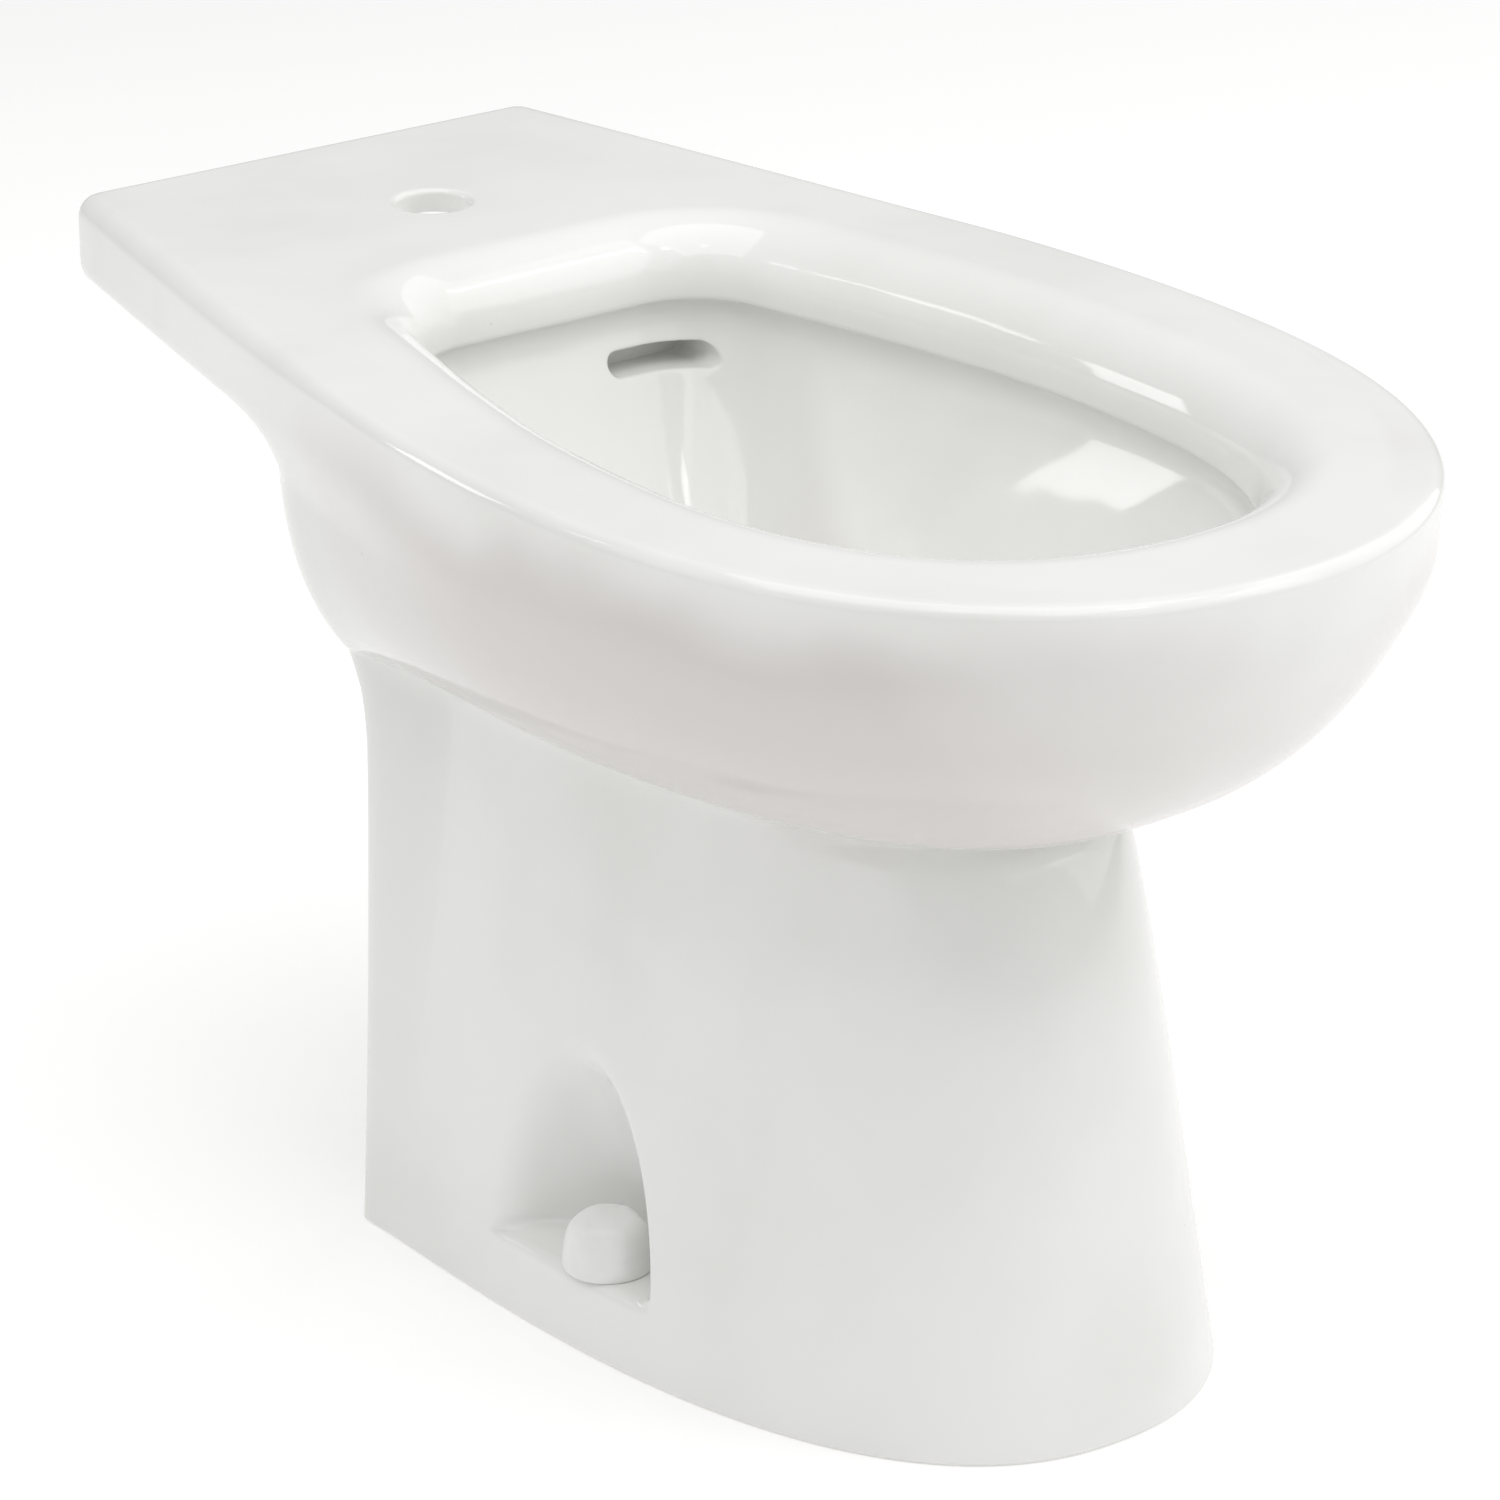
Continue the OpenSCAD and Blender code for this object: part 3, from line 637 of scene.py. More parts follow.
class BodyForm:
    """The rule that gives every point of the china's skins.

    An outline is ten numbers: Y of the nose, Y and half width of the widest place, Y and half width of the rear,
    two powers of the nose, reach of the rear corner, bend of the side and bow of the rear.
    """

    KNOTS = (13 / 30, 21 / 30, 26 / 30)
    COUNT = 10  # numbers of an outline
    SEAT = 35.0  # radius where the bowl meets the waste seat
    NOSE_RISE, SIDE_RISE = 0.42, 1.35  # how fast the pedestal's nose and sides draw in
    FLARE_TALL, FLARE_POWER = 50, 2.5  # the flare below the crease
    ROUND, BACK_ROUND = (1.65, 2.02), (4.6, 0.95)  # two powers of the bulge's curve, and of its back's
    CORNER_PULL = 0.56  # how far the rear corner reaches into its square
    CHAMFER = 1.5  # at the foot
    FILL = 0.15  # share of the hollow rim that is left behind the slot

    def __init__(self, size: BodySizes) -> None:
        """Works the outlines out from the sizes.

        Args:
            size: sizes of the body.
        """
        self.size = size
        half_l, half_w = size.length / 2, size.width / 2
        self.crease = size.height - size.bulge
        self.bulge_top = size.height - 12
        self.skirt_z = size.height - size.skirt
        self.lip_z = size.height - size.roll - 3
        self.bowl_top = self.lip_z - 5
        self.seat_z = size.height - size.bowl
        self.foot = np.array([-240.5, 67, 131, 94.5, 131.7, 2.8, 2.28, 8, 0.25, 6])
        self.neck = np.array([-182, 66, 95, 109, 119, 2, 2.6, 12, 0.25, 14])
        self.bulge = np.array([-half_l, -73, half_w, 160, 141, 2.35, 2.1, 66, 0.25, 24])
        self.deck = np.array([-half_l, -73, half_w, half_l, size.deck_width / 2, 2.35, 2.1, 9, 0.335, 0])
        self.roll = np.array([161 - size.open_length, -80, size.open_width / 2, 161, 100, 2.6, 2.2, 55, 0.5, 0])
        self.flare = np.array([0, 0, 4, 4.5, 4, 0, 0, 0, 0, 0.0])
        self.niche_mid = half_w * 0.74 + 16
        self.niche_in = size.bolt_gap / 2 - 26
        self.niche_depth = self.niche_mid - self.niche_in

    @staticmethod
    def inset(v: Array, d: object) -> Array:
        """Moves every edge of an outline inwards.

        Args:
            v: outline numbers.
            d: distance in millimetres.

        Returns:
            The outline numbers.
        """
        v, d = np.array(v, float), np.asarray(d, float)
        if v.ndim == 1 and d.ndim:
            v = np.repeat(v[:, None], len(d), axis=1)
        v[0] += d
        v[2:5] -= d
        v[7] = np.maximum(v[7] - d, 4)
        return v

    @staticmethod
    def side_x(v: Array, y: Array) -> Array:
        """Half width of an outline behind its widest point.

        Args:
            v: outline numbers.
            y: Y of the places.

        Returns:
            The half widths.
        """
        s = (y - v[1]) / (v[3] - v[1])
        e = v[8]
        return v[2] - (v[2] - v[4]) * (np.sqrt(s * s + e * e) - e) / (np.sqrt(1 + e * e) - e)

    def outline(self, v: Array, w: Array) -> tuple[Array, Array]:
        """Points of an outline.

        Args:
            v: outline numbers, one column for each point.
            w: place on the loop, 0 at the nose, 1 at the rear, up to 2.

        Returns:
            X and Y of the points.
        """
        w = np.mod(np.asarray(w, float), 2.0)
        v = np.asarray(v, float)
        v = v[:, None] if v.ndim == 1 else v
        mirrored = w > 1
        w = np.where(mirrored, 2 - w, w)
        a, b, c = self.KNOTS
        t = clamp01(w / a) * np.pi / 2
        y_turn = v[3] - v[7]
        y_side = mix(v[1], y_turn, clamp01((w - a) / (b - a)))
        k = clamp01((w - b) / (c - b))
        ax, ay, bx, by = self.side_x(v, y_turn), y_turn, v[4] - v[7], v[3]
        pull = self.CORNER_PULL
        turn = [
            p * (1 - k) ** 3 + mix(p, m, pull) * 3 * k * (1 - k) ** 2 + mix(q, m, pull) * 3 * k * k * (1 - k) + q * k**3
            for p, q, m in ((ax, bx, v[4]), (ay, by, v[3]))]
        x_rear = bx * (1 - clamp01((w - c) / (1 - c)))
        parts = (
            (v[2] * np.sin(t) ** (2 / v[6]), v[1] - (v[1] - v[0]) * np.maximum(np.cos(t), 0) ** (2 / v[5])),
            (self.side_x(v, y_side), y_side), turn, (x_rear, v[3] + v[9] * (1 - (x_rear / bx) ** 4) ** 2))
        x, y = (np.where(w <= a, p[0], np.where(w <= b, p[1], np.where(w <= c, p[2], p[3]))) for p in zip(*parts))
        return np.where(mirrored, -x, x), y

    def points(self, v: Array, w: Array, z: object) -> Array:
        """Points of an outline at a height, as rows x, y, z."""
        return columns(*self.outline(v, w), z)

    def foot_at(self, z: Array) -> Array:
        """Outline numbers of the pedestal at a height.

        Args:
            z: height in millimetres.

        Returns:
            The outline numbers.
        """
        z = np.asarray(z, float)
        t = clamp01(z / self.crease)
        shares = [t] * self.COUNT
        shares[0] = 1 - (1 - t) ** self.NOSE_RISE
        shares[2] = shares[4] = 1 - (1 - t) ** self.SIDE_RISE
        spread = clamp01((z - self.crease + self.FLARE_TALL) / self.FLARE_TALL) ** self.FLARE_POWER
        return np.stack([mix(p, q, t) + r * spread for p, q, r, t in zip(self.foot, self.neck, self.flare, shares)])

    def bulge_at(self, z: Array) -> Array:
        """Outline numbers of the bowl's outside at a height.

        Args:
            z: height in millimetres.

        Returns:
            The outline numbers.
        """
        s = clamp01((np.asarray(z, float) - self.crease) / (self.bulge_top - self.crease))
        out, back = ((1 - (1 - s) ** p) ** (1 / q) for p, q in (self.ROUND, self.BACK_ROUND))
        numbers = []
        for k, (neck, flare, bulge) in enumerate(zip(self.neck, self.flare, self.bulge)):
            own = mix(neck + (0 if k == 2 else flare), bulge, back if k in (3, 4, 7, 9) else out)
            numbers.append(np.maximum(own, neck + flare) if flare > 0 else own)
        return np.stack(numbers)

    def facing(self, w: Array) -> Array:
        """Places on the deck's outline that face places on the bowl's outline.

        Args:
            w: places on the bowl's outline.

        Returns:
            The places on the deck's outline.
        """
        a, b, c = self.KNOTS
        run = self.deck[3] - self.deck[7] - self.deck[1]
        meet = a + (b - a) * (self.bulge[3] - self.bulge[7] - self.deck[1]) / run
        half = np.where(w > 1, 2 - w, w)
        half = np.interp(half, [0, a, b, c, c + 0.32 * (1 - c), 1], [0, a, meet, b, c, 1])
        return np.where(w > 1, 2 - half, half)

    def skirt_at(self, z: float) -> Array:
        """Outline numbers of the deck's skirt at a height.

        Args:
            z: height in millimetres.

        Returns:
            The outline numbers.
        """
        v, b = self.deck.copy(), self.bulge_at(z)
        v[0], v[2] = b[0], min(v[2], b[2])
        return v

    def outer(self, w: Array, z: Array) -> Array:
        """Points of the pedestal's outside, with its small chamfer at the floor."""
        edge = self.CHAMFER
        return self.points(self.inset(self.foot_at(np.maximum(z, edge)), edge - np.minimum(z, edge)), w, z)

    def inner(self, w: Array, z: Array) -> Array:
        """Points of the inside of the walls, with the thick places round the niches.

        Args:
            w: place on the loop, 0 at the nose, 1 at the rear, up to 2.
            z: height in millimetres.

        Returns:
            The points.
        """
        size, z = self.size, np.asarray(z, float)
        thinner, near, rise, lag, core = 3, 25, 5, 9, 40
        thin = thinner * clamp01(1 - np.abs(z - self.crease - rise) / near)
        at = np.where(z <= self.crease, z, np.maximum(z - lag, self.crease))
        skin = np.where(at < self.crease, self.foot_at(at), self.bulge_at(at))
        p = self.points(self.inset(skin, size.wall - thin), w, z)
        top = size.ledge + size.niche_h + 2 * size.wall
        a = clamp01(1 - (np.abs(p[:, 1] - size.niche_y) / (size.niche_w / 2 + size.wall + 6)) ** 4)
        b = clamp01(1 - (np.maximum(p[:, 2], 0) / top) ** 4)
        reach = np.maximum(0, np.abs(p[:, 0]) - (self.niche_in - size.wall))
        shift = np.where((np.abs(p[:, 0]) > core) & (p[:, 2] <= self.crease), reach * np.sqrt(a * b), 0)
        p[:, 0] -= np.sign(p[:, 0]) * shift
        return p

    def round_waste(self, w: Array, d: object = 0.0) -> tuple[Array, Array, Array]:
        """X and Y of the bowl's top edge, and each column's angle round the waste."""
        x, y = self.outline(self.inset(self.roll, self.size.roll - self.size.undercut - d), w)
        return x, y, np.arctan2(x, self.size.waste_y - y)

    def bowl(self, w: Array, z: Array, d: float = 0.0) -> Array:
        """Points of the bowl's inside at a height, or d outside it.

        Args:
            w: place on the loop, 0 at the nose, 1 at the rear, up to 2.
            z: height in millimetres.
            d: distance outside it.

        Returns:
            The points.
        """
        z = np.asarray(z, float)
        u = clamp01((self.bowl_top - z) / (self.bowl_top - self.seat_z))
        g = (1 - u**1.35) ** 1.15
        x, y, a = self.round_waste(w, np.broadcast_to(d, g.shape))
        r = self.SEAT + d
        return columns(mix(r * np.sin(a), x, g), mix(self.size.waste_y - r * np.cos(a), y, g), z)

    def under(self, w: Array, u: float) -> Array:
        """Points of the bowl's underside, with the thick run of the overflow duct.

        Args:
            w: place on the loop, 0 at the nose, 1 at the rear, up to 2.
            u: share of the way from the bowl's top to the waste seat.

        Returns:
            The points.
        """
        sag, duct_half, duct_start, duct_thick, duct_run = 14, 30, 15, 18, 25
        p = self.bowl(w, mix(self.bowl_top, self.seat_z, u), mix(self.size.wall - 1, 4, u))
        p[:, 2] -= sag * u * u
        a = clamp01(1 - (np.abs(p[:, 0] - mix(self.size.slot_x - 8, 3, u**0.8)) / duct_half) ** 4)
        behind = p[:, 1] - self.size.waste_y - duct_start
        p[:, 1] += np.where(behind > 0, duct_thick * np.sqrt(a) * (1 - u**4) * clamp01(behind / duct_run), 0)
        return self.fill_slot(p)

    def fill_slot(self, p: Array) -> Array:
        """Lowers the hollow under the rim behind the overflow slot.

        Args:
            p: points of the hollow's skin.

        Returns:
            The points.
        """
        half, front, run, low, z = 62, 82, 22, self.size.height - 86, p[:, 2]
        a = clamp01(1 - (np.abs(p[:, 0] - self.size.slot_x) / half) ** 4)
        b = clamp01((p[:, 1] - front) / run)
        return columns(p[:, 0], p[:, 1], np.where(z > low, mix(z, low + (z - low) * self.FILL, a * b), z))


@dataclass
class Grid:
    """Rows of points that run round the body."""

    book: MeshBook
    places: Array
    rows: list[Array] = field(default_factory=list)
    heights: list[float] = field(default_factory=list)
    gaps: list[tuple[int, int, int, int]] = field(default_factory=list)

    def add(self, points: Array, height: float = math.nan) -> int:
        """Adds a row and returns its number.

        Args:
            points: its points.
            height: its height, where all of it has one.

        Returns:
            The row's number.
        """
        self.rows.append(self.book.add(points))
        self.heights.append(height)
        return len(self.rows) - 1

    def extend(self, rows: Sequence[Array]) -> None:
        """Adds several rows without a height."""
        for points in rows:
            self.add(points)

    def nearest(self, height: float, first: int = 0, last: int | None = None) -> int:
        """Number of the row whose height is nearest, in a range of rows."""
        return first + int(np.nanargmin(np.abs(np.array(self.heights[first:last]) - height)))

    def column(self, place: float) -> int:
        """Number of the column nearest to a place on the loop."""
        return int(np.argmin(np.abs(self.places - place)))

    def cut(self, r0: int, r1: int, c0: int, c1: int) -> list[tuple[int, int]]:
        """Leaves a block of quads out.

        Args:
            r0: first row.
            r1: last row.
            c0: first column.
            c1: last column.

        Returns:
            Row and column numbers along its border, anticlockwise from outside.
        """
        self.gaps.append((r0, r1, c0, c1))
        loop = [(r0, c) for c in range(c0, c1 + 1)] + [(r, c1) for r in range(r0 + 1, r1 + 1)]
        return loop + [(r1, c) for c in range(c1 - 1, c0 - 1, -1)] + [(r, c0) for r in range(r1 - 1, r0, -1)]

    def trace(self, loop: Sequence[tuple[int, int]], mirror: bool = False) -> tuple[Array, Array]:
        """Point numbers along a border, and place and height of each, unmirrored.

        Args:
            loop: row and column numbers of the border.
            mirror: whether it lies on the other side.

        Returns:
            The numbers, and the places and heights.
        """
        n = len(self.places)
        ids = np.array([self.rows[r][(n - c if mirror else c) % n] for r, c in loop])
        return ids, np.array([(self.places[c % n], self.heights[r]) for r, c in loop])

    def close(self, skipped: Sequence[int]) -> None:
        """Joins neighbouring rows by quads, apart from the blocks and the bands left out.

        Args:
            skipped: numbers of the rows that don't join the next one.
        """
        n = len(self.places)
        for r in sorted(set(range(len(self.rows) - 1)) - set(skipped)):
            holes = [(c0, c1) for r0, r1, c0, c1 in self.gaps if r0 <= r < r1]
            low, high = self.rows[r], self.rows[r + 1]
            for c in range(n):
                if not any(c0 <= c < c1 for c0, c1 in holes):
                    d = (c + 1) % n
                    self.book.faces.append(tuple(int(q) for q in (low[c], low[d], high[d], high[c])))


class ChinaBody:
    """The casting: rim, deck, bowl, pedestal and its openings."""

    # radius and height over the seat, down the waste hole and out under it
    WASTE_HOLE = (
        (25.5, 0), (24.2, -0.1), (23.4, -0.5), (23.0, -1.3), (23.0, -12.8), (23.3, -13.7), (24.2, -14.0), (33, -14.0))
    # places on the loop and heights between which the rows make way for an opening
    NICHE_SPAN, NICHE_RISE = (0.235, 0.424), (19.0, 145.0)
    SLOT_SPAN, SLOT_LOW = (0.655, 0.955), 304.0
    BACK_PLACE = 0.80
    # how far below and above the deck's underside the skirt's turn reaches
    SKIRT_BELOW, SKIRT_ABOVE = 26, 10

    def __init__(self, form: BodyForm, glaze: bpy.types.Material) -> None:
        """Keeps the rule and the finish, and spreads the columns round the loop.

        Args:
            form: rule of the body.
            glaze: its finish.
        """
        self.form, self.size, self.glaze = form, form.size, glaze
        self.book = MeshBook()
        a, b, c = form.KNOTS
        parts = ((0, a, 53), (a, b, 33), (b, c, 21))
        half = np.concatenate([np.linspace(*part)[:-1] for part in parts] + [np.linspace(c, 1, 17)])
        self.places = np.concatenate([half, 2 - half[-2:0:-1]])
        self.grid = Grid(self.book, self.places)
        self.n = len(self.places)
        self.at: dict[str, int] = {}
        self.bolt_holes: list[Array] = []

    def build(self) -> bpy.types.Object:
        """Builds the whole casting.

        Returns:
            The object.
        """
        self.outside()
        self.top_and_bowl()
        self.hidden_side()
        self.back_opening()
        self.niche(Side.RIGHT)
        self.niche(Side.LEFT)
        self.slot()
        self.deck_faces()
        self.foot_face()
        self.grid.close([self.at["deck_in"], self.at["last"]])
        return self.book.make("china_casting", self.glaze, 42.0)

    def outside(self) -> None:
        """Rows of the pedestal, the bowl's outside, the skirt and the rounded top edge."""
        f, g, w, size = self.form, self.grid, self.places, self.size
        foot_top, along = f.crease - 20, np.minimum(w, 2 - w)
        fillet_side, fillet_nose, edge_rows = 16, 9, 10
        for z in np.concatenate([[0.0, 0.6, f.CHAMFER], np.linspace(7, foot_top, 38)]):
            self.at["foot_top"] = g.add(f.outer(w, z), z)
        start = f.outer(w, mix(f.crease - fillet_side, f.crease - fillet_nose, smoothstep(1 - along / 0.3)))
        crease_end, crease_steps, bulge_steps = 0.018, 10, 26
        z_end = mix(f.crease, f.bulge_top, crease_end)
        end = f.points(f.bulge_at(z_end), w, z_end)
        g.add(f.outer(w, mix(foot_top, start[:, 2], 0.5)))
        g.extend(arc_path(f.points(f.foot_at(f.crease), w, f.crease), start, end, crease_steps))
        top_share = (f.skirt_z - self.SKIRT_BELOW - f.crease) / (f.bulge_top - f.crease)
        for k in np.linspace(0, 1, bulge_steps)[1:]:
            z = mix(f.crease, f.bulge_top, mix(crease_end, top_share, k**1.8))
            g.add(f.points(f.bulge_at(z), w, z), z)
        self.skirt()
        places = f.facing(w)
        edge = mix(size.edge, size.deck_edge, smoothstep((along - 0.6) / 0.15))
        for a in np.radians(np.linspace(0, 90, edge_rows)):
            v = f.inset(f.deck, edge * (1 - math.cos(a)))
            g.add(f.points(v, places, size.height - edge * (1 - math.sin(a))))
        self.at["deck_in"] = g.add(f.points(f.inset(f.deck, edge + 2.0), places, size.height))

    def skirt(self) -> None:
        """Rows from the bowl's outside under the deck to the deck's side wall."""
        f, g, w = self.form, self.grid, self.places
        z0, places, arc_steps, step = f.skirt_z, f.facing(w), 8, 5
        low, high, rise = z0 - self.SKIRT_BELOW, z0 + self.SKIRT_ABOVE, self.SKIRT_BELOW + self.SKIRT_ABOVE
        a, before, b = (f.points(f.bulge_at(z), w, z) for z in (low, low - step, z0))
        c, d = (f.points(f.skirt_at(z), places, z) for z in (z0, high))
        lead = (a - before) * rise / step
        gap = self.gap = np.linalg.norm(c - b, axis=1)
        turn = np.minimum(np.minimum(20.0, 0.45 * gap), np.maximum(12.0, 32 - 0.2 * gap))
        tight = np.minimum(7.0, 0.45 * gap)
        soft = smoothstep(1 - (gap - 8) / 26)[:, None]
        rows = arc_path(b, towards(b, a, turn), towards(b, c, turn), arc_steps)
        rows += arc_path(c, towards(c, b, tight), towards(c, d, tight + 0.5), arc_steps - 1)
        for k, row in enumerate(rows):
            t = mix(0.06, 0.94, k / (len(rows) - 1))
            h = (2 * t**3 - 3 * t**2 + 1, t**3 - 2 * t**2 + t, -2 * t**3 + 3 * t**2, t**3 - t**2)
            plain = a * h[0] + lead * h[1] + d * h[2] + rise * UP * h[3]
            number = g.add(mix(row, plain, soft))
            if k == arc_steps:
                self.at["shelf"] = number
        g.add(d)
        g.add(mix(d, f.points(f.deck, places, self.size.height - self.size.deck_edge), 0.5))

    def top_and_bowl(self) -> None:
        """Rows of the roll, the lip, the bowl and the waste hole."""
        f, g, w, size = self.form, self.grid, self.places, self.size
        self.at["roll_out"] = g.add(f.points(f.inset(f.roll, -2.0), w, size.height))
        roll_rows, crowding, lip_turn, inner_turn, below_turn = 25, 0.85, 2.6, 2.4, 3.6
        for a in np.radians(90 * np.linspace(0, 1, roll_rows) ** crowding):
            z = size.height - size.roll * (1 - math.cos(a))
            g.add(f.points(f.inset(f.roll, size.roll * math.sin(a)), w, z))
        above, lip = (f.points(f.inset(f.roll, size.roll), w, f.lip_z + z) for z in (3, -1.2))
        inner = f.points(f.inset(f.roll, size.roll - size.undercut), w, f.lip_z - 2.2)
        below = f.bowl(w, f.lip_z - 8)
        g.extend(arc_path(lip, towards(lip, above, lip_turn), towards(lip, inner, inner_turn), 8))
        g.extend(arc_path(inner, towards(inner, lip, inner_turn), towards(inner, below, below_turn), 4))
        self.at["bowl_first"] = len(g.rows)
        for u in np.concatenate([np.linspace(0.045, 0.34, 9), np.linspace(0.38, 0.9, 14), [0.93, 0.955, 0.972]]):
            z = mix(f.bowl_top, f.seat_z, u)
            self.at["bowl_last"] = g.add(f.bowl(w, z), z)
        a = f.round_waste(w)[2]

        def circle(r: float, z: float) -> Array:
            """Ring of the columns round the waste, at a height over the seat."""
            return columns(r * np.sin(a), size.waste_y - r * np.cos(a), f.seat_z + z)

        g.extend(arc_path(circle(f.SEAT, 0), f.bowl(w, f.seat_z + 3.2), circle(f.SEAT - 3, 0), 4)[1:])
        for r, z in self.WASTE_HOLE:
            g.add(circle(r, z))

    def hidden_side(self) -> None:
        """Rows of the bowl's underside, the hollow rim and the inside of the pedestal."""
        f, g, w, top = self.form, self.grid, self.places, self.size.height
        shares = (0.995, 0.96, 0.92, 0.87, 0.8, 0.72, 0.64, 0.56, 0.48, 0.4, 0.32, 0.25, 0.17, 0.1)
        g.extend([f.under(w, u) for u in shares])
        g.add(f.fill_slot(f.points(f.inset(f.roll, 13), w, top - 19)))
        g.add(f.fill_slot(f.points(f.inset(f.bulge_at(top - 20.0), self.size.wall + 4), w, top - 15)))
        for s in (0.86, 0.76, 0.66, 0.57, 0.48, 0.39, 0.3, 0.22, 0.14, 0.07, 0.02):
            z = mix(f.crease, f.bulge_top, s)
            g.add(f.fill_slot(f.inner(w, z)), z)
        self.at["inner_top"] = len(g.rows)
        for z in np.concatenate([[f.crease - 1], np.linspace(f.crease - 14, 7, 30), [f.CHAMFER, 0.0]]):
            self.at["last"] = g.add(f.inner(w, z), z)

    def patch(
        self, ids: Array, ws: Array, aim: Array, surface: Skin, rings: int, closed: bool, flip: bool = False,
        sign: float = 1.0,
    ) -> list[Array]:
        """Fills from a block's border to a curve on the same surface.

        Args:
            ids: point numbers of the border.
            ws: place and height of each border point.
            aim: place and height of each point of the curve.
            surface: rule of the surface.
            rings: number of bands.
            closed: whether the border is a loop.
            flip: whether the faces turn round.
            sign: -1 where X is mirrored.

        Returns:
            The rows of point numbers, border first.
        """
        rows = [ids]
        for k in range(1, rings + 1):
            rows.append(self.book.add(surface(*mix(ws, aim, k / rings).T) * np.array([sign, 1, 1])))
        self.book.loft(rows, closed, flip)
        return rows

    def back_opening(self) -> None:
        """The opening in the pedestal's back wall."""
        f, g, book = self.form, self.grid, self.book
        half, top, r, corner_steps, lip_wide = 96.0, f.crease - 30, 34.0, 8, 2.6
        c0, r1 = g.column(self.BACK_PLACE), self.at["foot_top"]
        c1 = self.n - c0
        q0, q1 = g.nearest(g.heights[r1], self.at["inner_top"]), self.at["last"]
        g.gaps += [(0, r1, c0, c1), (q0, q1, c0, c1)]

        def border(grow: float, sides: int) -> Array:
            """X and Z of the arch, from the left foot over the top to the right foot.

            Args:
                grow: how much larger the arch is than the opening.
                sides: stretches up each side.

            Returns:
                The points.
            """
            h, t, rr, across = half + grow, top + grow, r + grow, c1 - c0
            low, high = (
                columns(-h + rr - rr * np.cos(a), t - rr + rr * np.sin(a))
                for a in (np.linspace(m, m + 0.5, corner_steps) * np.pi / 2 for m in (0, 0.5)))
            n = corner_steps - 2
            left = np.concatenate([columns(-h, np.linspace(0, t - rr, sides - n)), low[1:]])
            flat = columns(np.linspace(-h + rr, h - rr, across - 2 * n - 1), t)[1:-1]
            mirror = np.array([-1, 1])
            return np.concatenate([left, high[1:], flat, high[:0:-1] * mirror, left[::-1] * mirror])

        def spots(curve: Array, skin: Skin) -> Array:
            """Place and height on a skin for each X and Z.

            Args:
                curve: X and Z of the points.
                skin: rule of the skin.

            Returns:
                The places and heights.
            """
            x, z = np.abs(curve[:, 0]), curve[:, 1]
            w = solve(lambda m: x - skin(m, z)[:, 0], 0.74, 1.0, len(x))
            return columns(np.where(curve[:, 0] < 0, 2 - w, w), z)

        def lip(block: Sequence[tuple[int, int]], skin: Skin, sides: int, pull: float, flip: bool) -> list[list[Array]]:
            """Rows of the patch up to the arch, and rows over the arch's edge.

            Args:
                block: row and column numbers of the border.
                skin: rule of the skin.
                sides: stretches up each side.
                pull: how far the edge turns in along Y.
                flip: whether the faces turn round.

            Returns:
                The two lists of rows.
            """
            aim, corner = spots(border(lip_wide, sides), skin), skin(*spots(border(0.0, sides), skin).T)
            rows = self.patch(*g.trace(block), aim, skin, 4, False, flip)
            arc = arc_path(corner, skin(*aim.T), corner + np.array([0, pull, 0]), 4)
            return [rows, [rows[-1]] + [book.add(p) for p in arc[1:]]]

        over = range(c1 - 1, c0 - 1, -1)
        out = [(r, c1) for r in range(r1 + 1)] + [(r1, c) for c in over] + [(r, c0) for r in range(r1 - 1, -1, -1)]
        ins = [(r, c1) for r in range(q1, q0 - 1, -1)] + [(q0, c) for c in over]
        ins += [(r, c0) for r in range(q0 + 1, q1 + 1)]
        rows, chain = lip(out, f.outer, r1, -lip_wide, False)
        back, chain_in = lip(ins, f.inner, q1 - q0, 2.0, True)
        chain_in.reverse()
        book.loft(chain, False)
        book.loft(chain_in, False)
        self.stitch(chain[-1], chain_in[0])
        path = rows + chain[1:] + chain_in + back[-2::-1]
        self.foot_ends = [[int(row[end]) for row in path][1:-1] for end in (-1, 0)]
        self.foot_columns = list(range(c1, self.n)) + list(range(c0 + 1))

    def stitch(self, low: Array, high: Array) -> None:
        """Joins two open rows of any length by triangles.

        Args:
            low: point numbers of one row.
            high: point numbers of the other.
        """
        if len(low) == len(high):
            self.book.loft([low, high], False)
            return
        i = j = 0
        while i < len(low) - 1 or j < len(high) - 1:
            ahead = (i + 1) / (len(low) - 1) <= (j + 1) / (len(high) - 1)
            if j == len(high) - 1 or (ahead and i < len(low) - 1):
                self.book.faces.append((int(low[i]), int(low[i + 1]), int(high[j])))
                i += 1
            else:
                self.book.faces.append((int(low[i]), int(high[j + 1]), int(high[j])))
                j += 1

    def niche(self, side: Side) -> None:
        """The arched hollow over a floor bolt, with its ledge and bolt hole.

        Args:
            side: which side of the body.
        """
        f, g, size, book = self.form, self.grid, self.size, self.book
        flip = side is Side.LEFT
        c0, c1 = (g.column(place) for place in self.NICHE_SPAN)
        r0, r1 = (g.nearest(z, 0, self.at["foot_top"]) for z in self.NICHE_RISE)
        ids, ws = g.trace(g.cut(r0, r1, c0, c1), flip)
        if flip:
            g.gaps[-1] = (r0, r1, self.n - c1, self.n - c0)
        nc, n_arch = c1 - c0, 2 * (r1 - r0) + c1 - c0
        depth, wide, tall, y_mid, lean = f.niche_depth, size.arch_half, size.arch_tall, size.arch_y, size.arch_lean

        def skin_x(y: Array, z: Array) -> tuple[Array, Array]:
            """Place on the loop and half width for Y and Z."""
            w = solve(lambda m: f.outer(m, z)[:, 1] - y, 0.0, f.KNOTS[0] + 0.2, len(y))
            return w, f.outer(w, z)[:, 0]

